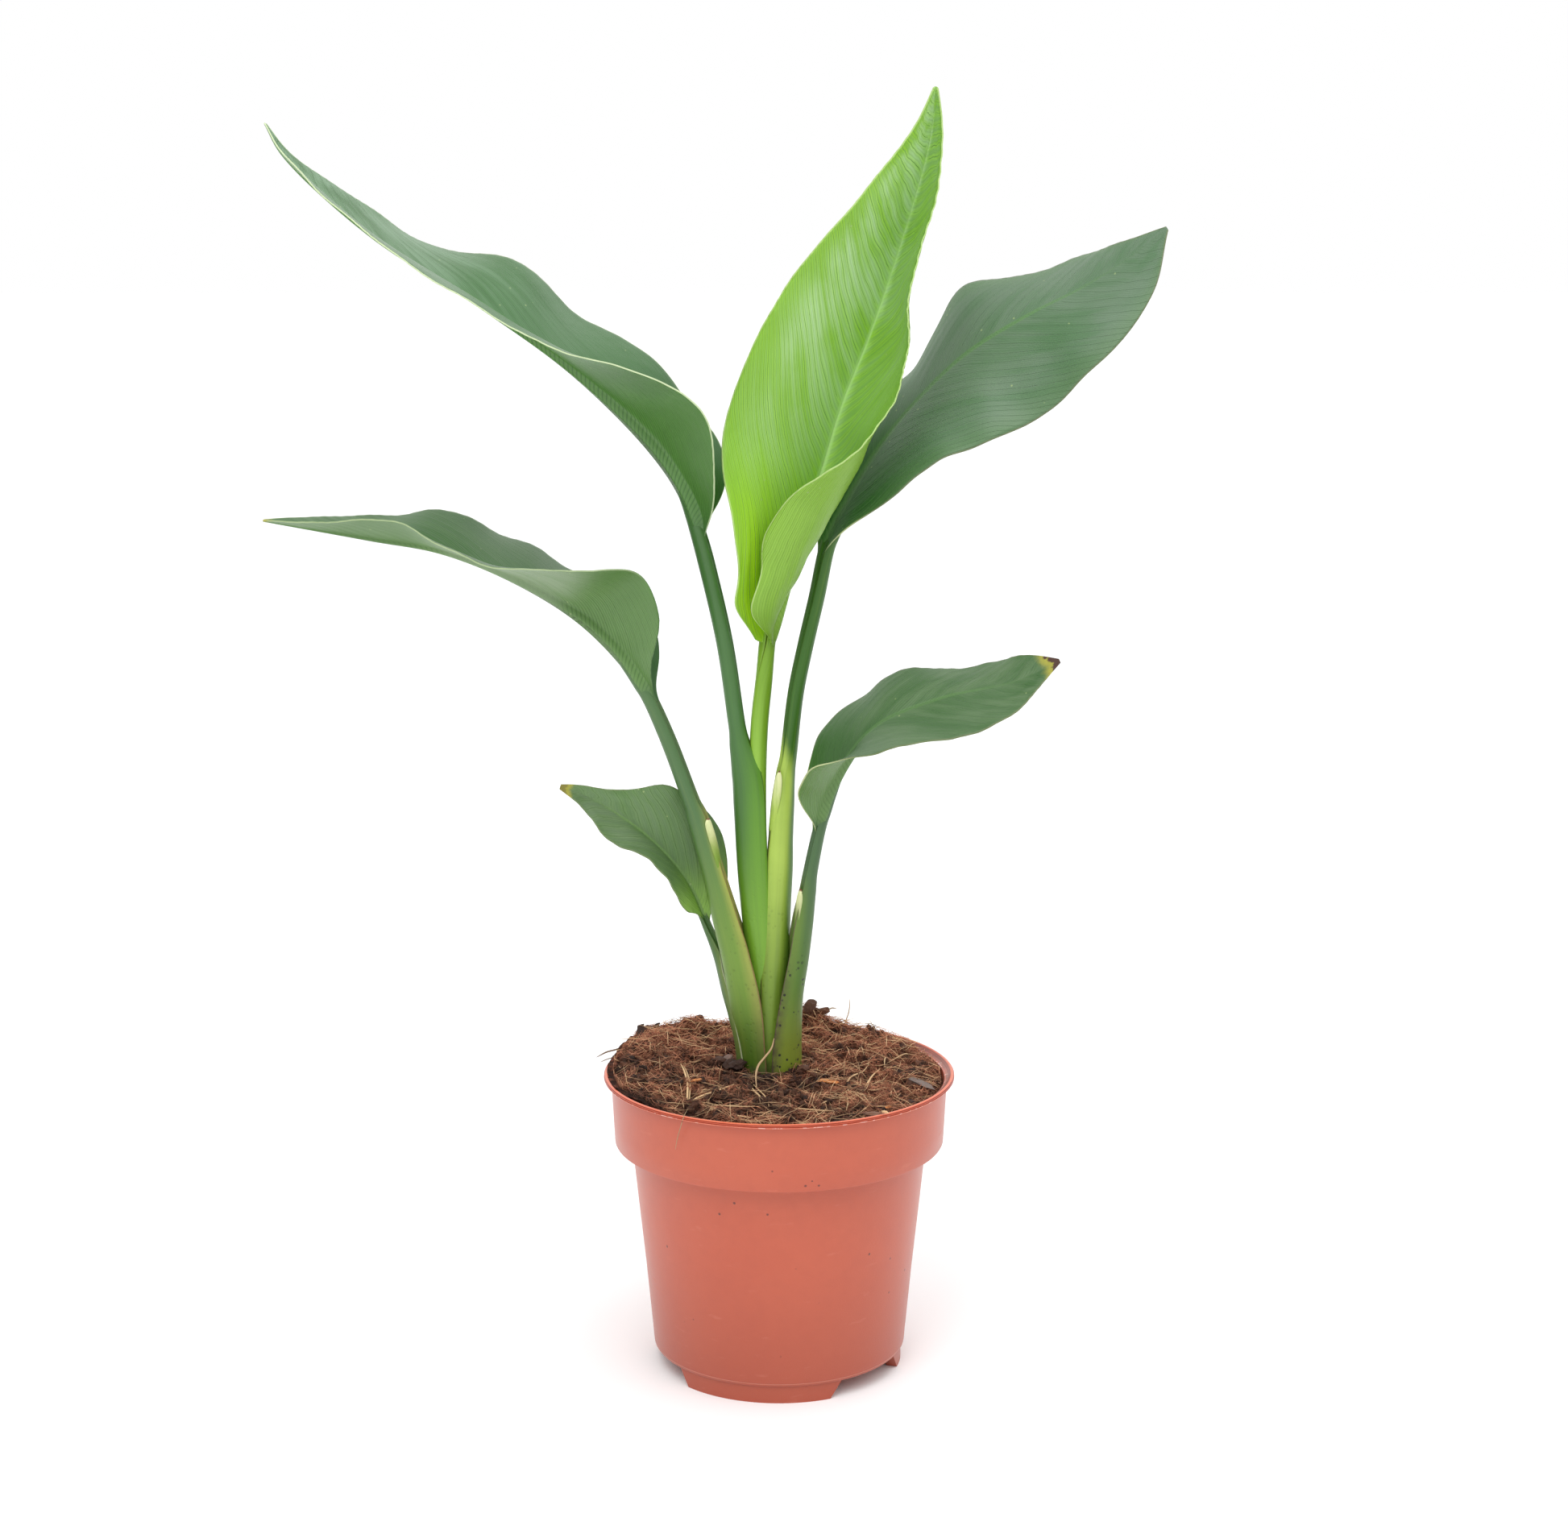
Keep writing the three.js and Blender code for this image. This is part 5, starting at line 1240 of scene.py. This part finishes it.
def fibreTree(name, kind, material):
    numbers = {"Density": kind["density"], "Shortest": kind["length"][0], "Longest": kind["length"][1],
               "Radius": kind["radius"], "Curl": kind["curl"], "Curl scale": kind["curlScale"],
               "Lift": kind["lift"], "Hug": kind["hug"], "Cover": kind["cover"], "Back": kind["back"],
               "Seed": kind["seed"]}
    tree, bench, given = newTree(name, numbers)
    spot = bench.add("GeometryNodeInputPosition")
    # fewer in the hollows, and fewer toward the back where the kind says so
    clumps = soilClouds(bench, spot)
    density = given["Density"] * openGround(bench, spot, growLimits["fibreLowest"])
    density = density * (given["Cover"] + clumps * (1 - given["Cover"]))
    forward = bench.axis(spot, "Y").rise(0.02, -0.02)
    density = density * (given["Back"] + forward * (1 - given["Back"]))
    line = bench.add("GeometryNodeCurvePrimitiveLine", {"mode": "POINTS"},
                     {"Start": (-0.5, 0.0, 0.0), "End": (0.5, 0.0, 0.0)})
    line = bench.add("GeometryNodeResampleCurve", {}, {"Curve": line, "Count": kind["steps"]})
    tilt = randomValue(bench, -kind["tilt"], kind["tilt"], 3)
    turn = bench.join(0.0, tilt, randomValue(bench, 0.0, 6.283, 4))
    size = randomValue(bench, given["Shortest"], given["Longest"], 5)
    real = scatter(bench, given, density, line, turn, bench.join(size, size, size), 6)
    # each fibre wanders by its own noise, then is kept inside the pot and laid on the soil
    where = bench.add("GeometryNodeInputPosition")
    own = bench.add("GeometryNodeInputNamedAttribute", {"data_type": "FLOAT"}, {"Name": "pick"})
    shifted = bench.vector("ADD", where, bench.join(own * 0.7, own * 0.3, own * 0.9))
    wander = bench.add("ShaderNodeTexNoise", sockets={
        "Vector": shifted, "Scale": given["Curl scale"], "Detail": 1.0}, output="Color")
    wander = bench.vector("SUBTRACT", wander, (0.5, 0.5, 0.5))
    curl = given["Curl"]
    moved = bench.vector("MULTIPLY_ADD", wander, bench.join(curl * 4, curl * 4, curl), where)
    x, y, z = (bench.axis(moved, name) for name in "XYZ")
    radius = bench.math("SQRT", x * x + y * y)
    farthest = bench.math("LESS_THAN", x, growLimits["leftFrom"]) * growLimits["leftMore"]
    farthest = farthest + growLimits["fibreReach"]
    hold = bench.math("MINIMUM", 1.0, farthest / bench.math("MAXIMUM", radius, 0.001))
    x = x * hold
    y = y * hold
    hit = bench.add("GeometryNodeRaycast", {}, {
        "Target Geometry": given["Geometry"], "Source Position": bench.join(x, y, growLimits["above"]),
        "Ray Direction": (0.0, 0.0, -1.0)}, "Hit Position")
    ground = bench.axis(hit, "Z")
    rise = (z - ground) * given["Hug"] + given["Lift"] * own
    laid = bench.add("GeometryNodeSetPosition", {}, {
        "Geometry": real, "Position": bench.join(x, y, ground + rise)})
    along = bench.add("GeometryNodeSplineParameter", output="Factor")
    taper = given["Radius"] * (0.6 + own * 0.8) * (1.0 - abs(along - 0.5) * 1.3)
    sized = bench.add("GeometryNodeSetCurveRadius", {}, {"Curve": laid, "Radius": taper})
    ring = bench.add("GeometryNodeCurvePrimitiveCircle", {"mode": "RADIUS"},
                     {"Resolution": kind["sides"], "Radius": 1.0})
    tube = bench.add("GeometryNodeCurveToMesh", {}, {
        "Curve": sized, "Profile Curve": ring, "Scale": taper, "Fill Caps": True})
    closeTree(bench, tube, material)
    return tree, numbers


def crumbTree(name, kind, material):
    numbers = {"Density": kind["density"], "Smallest": kind["size"][0], "Largest": kind["size"][1],
               "Seed": kind["seed"]}
    tree, bench, given = newTree(name, numbers)
    spot = bench.add("GeometryNodeInputPosition")
    reach = bench.vector("LENGTH", bench.vector("MULTIPLY", spot, (1.0, 1.0, 0.0)), output="Value")
    ground = openGround(bench, spot, growLimits["crumbLowest"])
    ground = ground * bench.math("LESS_THAN", reach, growLimits["crumbReach"])
    density = given["Density"] * ground * (1.0 - soilClouds(bench, spot) * 0.6)
    lump = bench.add("GeometryNodeMeshIcoSphere", {}, {"Radius": 1.0, "Subdivisions": 1})
    size = randomValue(bench, given["Smallest"], given["Largest"], 7)
    turn = bench.join(*(randomValue(bench, 0.0, 3.1, seed) for seed in (8, 9, 10)))
    scale = bench.join(size, size * randomValue(bench, 0.4, 0.9, 11), size * randomValue(bench, 0.4, 0.8, 12))
    closeTree(bench, scatter(bench, given, density, lump, turn, scale, 13), material)
    return tree, numbers


for kindName, kind in fibreKinds.items():
    skin = strandMaterial(f"{kindName}_skin", kind)
    tree, numbers = fibreTree(kindName, kind, skin)
    grow(kindName, soil, tree, numbers, skin)
crumbSkin = strandMaterial("crumb_skin", crumbs)
tree, numbers = crumbTree("crumbs", crumbs, crumbSkin)
grow("soil_crumbs", soil, tree, numbers, crumbSkin)


# points, radius at the middle and how light it is; a point below the soil's surface is raised onto it
strands = [
    (((-1.7, -4, 115.4), (-2.6, -6, 112.5), (-5.2, -9, 109.8), (-6.9, -12, 108.4), (-7.8, -16, 106),
      (-7.5, -19, 102)), 0.33, 0.55),
    (((-33.8, 0.8, 105), (-32.2, -7.6, 104.6), (-30.9, -16.8, 103.4), (-30.4, -31, 102.3),
      (-29.9, -38, 101.6)), 0.3, 0.95),
    (((-32.9, 0.4, 104.6), (-31.3, -7.8, 104.3), (-30, -17, 103.2), (-29.8, -31, 101.9),
      (-29.6, -38, 101.2)), 0.22, 0.7),
    (((-29.6, -47, 104.4), (-30.6, -51.4, 103.6), (-31.5, -52.4, 101.2), (-32.1, -51.2, 98.8),
      (-33, -48.9, 95.1), (-33.4, -48.2, 93), (-33.8, -47.9, 90.7)), 0.12, 0.35),
    (((-63.8, 16, 102.6), (-60.4, 18, 103.9), (-56.8, 20, 104.4), (-50, 23, 105)), 0.25, 0.0),
    (((-62, 9, 103), (-59.5, 10, 103.8), (-55, 11, 104)), 0.15, 0.1),
    (((25.4, 49, 114.6), (25.1, 49, 109.9), (23.9, 49, 106.1), (23.3, 48, 104)), 0.16, 0.6),
    (((31.2, 8, 102.8), (28.7, 2, 101.7), (24.5, -5, 102), (22.3, -14, 100.7), (23, -20, 100.2),
      (25.6, -26, 99.8)), 0.26, 0.85),
    (((22.3, -14, 100.9), (22.5, -22, 102), (22.9, -30, 101.5), (22.2, -37, 100.5)), 0.2, 0.7),
    (((22.6, -15, 101), (25.4, -22, 101.6), (28.6, -30, 101.4), (31, -37, 101.6)), 0.2, 0.8),
    (((34.8, 4, 102.2), (32.1, -1.2, 101.4), (29.5, -10.4, 100.6), (28.6, -18, 100.2)), 0.26, 0.9),
    (((-10.8, -13, 102.4), (-8.2, -20, 101.8), (-5.2, -32, 100.8), (-3.8, -43, 100.4)), 0.24, 0.85),
    (((-9.7, -12, 102.6), (-7, -19, 102), (-4.2, -30, 101), (-2.6, -41, 100.4)), 0.2, 0.75),
    (((-15.1, -11.8, 101.6), (-19.5, -18.2, 101.8), (-27.3, -27, 101.6), (-29.6, -33, 101.2)), 0.27, 1.0),
    (((-24, -38, 101.6), (-20, -42, 101.8), (-14, -45, 101.4), (-9, -46, 101)), 0.22, 0.9),
    (((-6, -36, 101.6), (-13, -38, 102.2), (-20, -36, 102), (-25, -31, 101.4)), 0.16, 0.75),
    (((2, -38, 101), (6, -41, 102.4), (13, -42, 102.2), (18, -40, 101.4)), 0.18, 0.8),
    (((17, -26, 100.6), (15, -33, 102), (11, -39, 101.8)), 0.2, 0.7),
    (((38, 14, 102), (36.6, 8, 104.6), (36.2, 2, 104)), 0.2, 0.7),
    (((45.6, 20, 101.6), (44, 15, 104.2), (37, 6, 103.4)), 0.17, 0.65),
    (((9, 36, 105), (12, 43, 111.5), (13, 46, 115)), 0.2, 0.15),
    (((15, 42, 109), (18.5, 44, 112.4), (20.5, 45, 112)), 0.2, 0.3),
    (((10, 42, 109), (10.6, 44, 113.8), (11.4, 45, 115.6)), 0.15, 0.2),
]
# x, y, height above the soil, length, width, thickness, heading and tilt in degrees, and place on the ramp
# of colours
chips = [
    (31.0, -44.5, 3.3, 12.5, 3.2, 1.8, -57, 12, 0.5), (34.5, -49.6, 5.4, 3.4, 1.3, 0.8, -57, 4, 0.95),
    (47.5, -8.5, 2.6, 13.0, 3.6, 1.1, -48, -4, 0.6), (-28.5, -11.8, 1.8, 5.0, 1.7, 1.0, -5, 12, 0.8),
    (14.0, -9.5, 1.9, 5.4, 2.5, 1.3, 8, 10, 0.8), (18.2, -11.2, 1.6, 4.4, 1.9, 1.1, -20, 0, 0.8),
    (35.6, -32.8, 2.0, 4.2, 1.6, 0.9, 30, 8, 0.8), (-14.5, -1.5, 2.4, 6.4, 4.6, 3.2, 20, 10, 0.1),
    (-11.0, -5.0, 2.2, 5.6, 4.0, 2.8, -30, 0, 0.05), (-7.2, -6.4, 1.8, 5.2, 3.4, 2.4, 10, 14, 0.08),
    (-17.0, 3.0, 2.8, 6.6, 4.4, 3.2, 60, 12, 0.12), (-18.4, 7.0, 4.0, 6.0, 4.0, 1.6, 30, 40, 0.54),
    (-20.5, 5.0, 2.4, 5.2, 4.0, 2.8, -20, 6, 0.2), (-3.0, -7.0, 1.4, 4.4, 2.8, 1.8, 0, 0, 0.08),
    (8.2, -3.6, 1.4, 4.8, 3.6, 2.6, 24, 10, 0.28), (10.6, 0.4, 1.8, 4.4, 3.2, 2.4, -12, 10, 0.2),
    (5.0, -6.0, 0.8, 3.2, 2.4, 1.6, 40, 0, 0.15),
    (-49.0, 26.5, 1.6, 5.6, 3.0, 1.4, 70, 52, 0.1), (-46.5, 29.5, 1.4, 4.6, 3.2, 2.2, 20, 12, 0.25),
    (-44.0, 33.5, 1.2, 3.6, 2.4, 1.8, 0, 30, 0.12), (-34.0, 37.5, 1.6, 5.6, 3.6, 2.4, 10, 16, 0.2),
    (-29.0, 41.5, 1.4, 4.4, 3.0, 2.2, 50, 24, 0.15), (11.0, 43.0, 1.8, 6.2, 4.0, 3.4, 70, 50, 0.3),
    (15.4, 43.5, 1.2, 5.2, 3.6, 2.6, 10, 20, 0.35), (19.0, 44.0, 0.8, 4.4, 2.4, 1.6, -10, 26, 0.55),
    (30.0, 41.5, 0.8, 10.5, 2.4, 2.0, -26, 0, 0.3), (44.0, -22.0, 0.8, 5.4, 4.0, 2.4, 0, 0, 0.02),
    (-30.0, -24.0, 0.8, 5.6, 3.6, 2.0, 20, 0, 0.04), (-37.0, -22.0, 0.8, 4.6, 3.4, 2.2, -10, 0, 0.08),
    (-20.0, -20.0, 0.8, 4.8, 3.0, 2.0, 40, 0, 0.1), (22.0, 6.0, 0.9, 5.0, 3.6, 2.6, 0, 8, 0.08),
    (40.0, -27.0, 0.8, 4.4, 3.0, 2.0, 60, 0, 0.12), (3.0, -20.0, 0.8, 4.4, 3.0, 2.2, 30, 0, 0.14),
]
looseShape = {
    "strandSize": 1.25, "strandSides": 5, "strandSteps": 6, "taper": 0.75,
    "chipDetail": 2, "chipNoise": 0.3,
}


def onSoil(x, y, z, lift):
    return max(z, roughHeight(x, y) + lift) if math.hypot(x, y) < soilShape["edgeRadius"] else z


def makeStrands(name):
    shape = looseShape
    points, faces, picks = [], [], []
    for path, radius, pick in strands:
        curve = spline([(x, y, onSoil(x, y, z, radius)) for x, y, z in path], shape["strandSteps"])
        ways = unit(np.gradient(curve, axis=0))
        sideways = unit(np.cross(ways, np.array([0.31, 0.17, 0.93])))
        upward = np.cross(sideways, ways)
        fromMiddle = np.abs(np.linspace(-1, 1, len(curve)))
        size = radius * shape["strandSize"] * (1 - shape["taper"] * fromMiddle ** 2.5)
        first = len(points)
        for j in range(shape["strandSides"]):
            a = 2 * math.pi * j / shape["strandSides"]
            points += list(curve + size[:, None] * (math.cos(a) * sideways + math.sin(a) * upward))
        grid = first + np.arange(len(points) - first).reshape(shape["strandSides"], len(curve))
        for j in range(shape["strandSides"]):
            k = (j + 1) % shape["strandSides"]
            faces += [(int(grid[j, i]), int(grid[k, i]), int(grid[k, i + 1]), int(grid[j, i + 1]))
                      for i in range(len(curve) - 1)]
        faces.append([int(corner) for corner in grid[::-1, 0]])
        faces.append([int(corner) for corner in grid[:, -1]])
        picks += [pick] * (len(points) - first)
    return makePiece(name, points, faces, values={"pick": picks})


def makeChips(name):
    # rough flakes: balls pressed flat and dented by noise, then turned and laid on the soil
    shape = looseShape
    ball = bmesh.new()
    bmesh.ops.create_icosphere(ball, subdivisions=shape["chipDetail"], radius=1.0)
    base = np.array([vert.co for vert in ball.verts])
    corners = [[vert.index for vert in face.verts] for face in ball.faces]
    ball.free()
    points, faces, picks = [], [], []
    for number, (x, y, lift, length, width, thickness, heading, tilt, pick) in enumerate(chips):
        dents = [1 + shape["chipNoise"] * 2 * noise.noise(Vector(spot) * 1.7 + Vector((number * 3.7, 0, 0)))
                 for spot in base]
        body = base * np.array(dents)[:, None] * np.array([length, width, thickness]) / 2
        turn, lean = math.radians(heading), math.radians(tilt)
        body = np.stack([body[:, 0] * math.cos(lean) - body[:, 2] * math.sin(lean), body[:, 1],
                         body[:, 0] * math.sin(lean) + body[:, 2] * math.cos(lean)], axis=1)
        body = np.stack([body[:, 0] * math.cos(turn) - body[:, 1] * math.sin(turn),
                         body[:, 0] * math.sin(turn) + body[:, 1] * math.cos(turn), body[:, 2]], axis=1)
        first = len(points)
        points += list(body + np.array([x, y, roughHeight(x, y) + lift]))
        faces += [[first + corner for corner in face] for face in corners]
        picks += [pick] * len(base)
    return makePiece(name, points, faces, range(len(faces)), {"pick": picks})


def chipMaterial():
    material, bench = newMaterial("chip_skin")
    pick = bench.value("pick")
    place = bench.place()
    patch = bench.cloud(place, 700.0, 4.0)
    stops = [(0.0, tone(28, 23, 22)), (0.3, tone(92, 60, 46)), (0.45, tone(136, 88, 62)),
             (0.6, tone(124, 112, 107)), (0.8, tone(214, 134, 76)), (1.0, tone(224, 190, 150))]
    colour = bench.add("ShaderNodeValToRGB", {"stops": stops}, {"Fac": pick + (patch - 0.5) * 0.16}, "Color")
    colour = bench.blend(patch.rise(0.55, 0.72) * 0.5, colour, tone(36, 24, 20))
    surface(bench, colour, 0.6 + patch * 0.25, patch, 0.0004, {"Specular IOR Level": 0.3})
    return material


looseStrands = {"dark": tone(66, 56, 52), "light": tone(246, 206, 156), "paintedHollowShade": 0.0}
dress(makeStrands("loose_strands"), strandMaterial("loose_strand_skin", looseStrands), "soil")
dress(makeChips("soil_chips"), chipMaterial(), "soil")
print(f"{len(strands)} strands and {len(chips)} chips")


stage = {
    "floorSize": 60.0, "floorTone": (0.965, 0.975, 0.98, 1.0),
    # how bright the room is above, around and below, and what its back wall adds
    "skyTop": 0.75, "skyMiddle": 0.6, "skyBottom": 0.5, "skyBack": 0.6,
    "keyPower": 12.0, "keySize": 1.2, "keyPlace": (-0.6, -1.3, 1.7),
    "sunPower": 1.3, "sunSpread": 70, "sunPlace": (0.35, -0.6, 1.6), "lightsMeet": (0, 0, 0.2),
    # the camera that the pot's ellipses in the photograph gave
    "lens": 61.53, "sensor": 36.0, "farthest": 60.0,
    "cameraPlace": (0.00167, -0.884, 0.376), "cameraDown": 0.187,
}


def makeFloor():
    bpy.ops.mesh.primitive_plane_add(size=stage["floorSize"], location=(0, 0, 0))
    floor = bpy.context.object
    floor.name = "studio_floor"
    material, bench = newMaterial("white_floor")
    shader = bench.add("ShaderNodeBsdfPrincipled", sockets={
        "Base Color": stage["floorTone"], "Roughness": 0.95, "Specular IOR Level": 0.0})
    bench.add("ShaderNodeOutputMaterial", sockets={"Surface": shader})
    floor.data.materials.append(material)


def makeRoom():
    # a white room: brighter above than below, and plain white where the camera looks straight at it
    world = bpy.data.worlds.new("white_room")
    world.use_nodes = True
    world.node_tree.nodes.clear()
    bench = Bench(world.node_tree)
    way = bench.add("ShaderNodeTexCoord", output="Generated")
    upward = bench.axis(way, "Z")
    backward = bench.axis(way, "Y")
    middle = upward.rise(-0.5, 0.05) * (stage["skyMiddle"] - stage["skyBottom"]) + stage["skyBottom"]
    light = middle + upward.rise(0.1, 0.9) * (stage["skyTop"] - stage["skyMiddle"])
    light = light + backward.rise(0.1, 0.9) * stage["skyBack"]
    seen = bench.add("ShaderNodeLightPath", output="Is Camera Ray")
    strength = light * (1 - seen) + seen
    background = bench.add("ShaderNodeBackground", sockets={
        "Color": (1.0, 1.0, 1.0, 1.0), "Strength": strength})
    bench.add("ShaderNodeOutputWorld", sockets={"Surface": background})
    bpy.context.scene.world = world


def aim(name, light, place):
    lamp = bpy.data.objects.new(name, light)
    lamp.location = place
    lamp.rotation_euler = (Vector(stage["lightsMeet"]) - Vector(place)).to_track_quat("-Z", "Y").to_euler()
    bpy.context.scene.collection.objects.link(lamp)


def makeLights():
    key = bpy.data.lights.new("key_light", "AREA")
    key.energy = stage["keyPower"]
    key.shape = "DISK"
    key.size = stage["keySize"]
    aim("key_light", key, stage["keyPlace"])
    sun = bpy.data.lights.new("wide_light", "SUN")
    sun.energy = stage["sunPower"]
    sun.angle = math.radians(stage["sunSpread"])
    aim("wide_light", sun, stage["sunPlace"])


def makeCamera():
    data = bpy.data.cameras.new("camera")
    data.sensor_fit = "HORIZONTAL"
    data.sensor_width = stage["sensor"]
    data.lens = stage["lens"]
    data.clip_end = stage["farthest"]
    camera = bpy.data.objects.new("camera", data)
    camera.location = stage["cameraPlace"]
    camera.rotation_euler = (math.pi / 2 - stage["cameraDown"], 0.0, 0.0)
    bpy.context.scene.collection.objects.link(camera)
    bpy.context.scene.camera = camera


makeFloor()
makeRoom()
makeLights()
makeCamera()
bpy.context.scene.view_settings.view_transform = "Standard"
print("stage and camera are set")
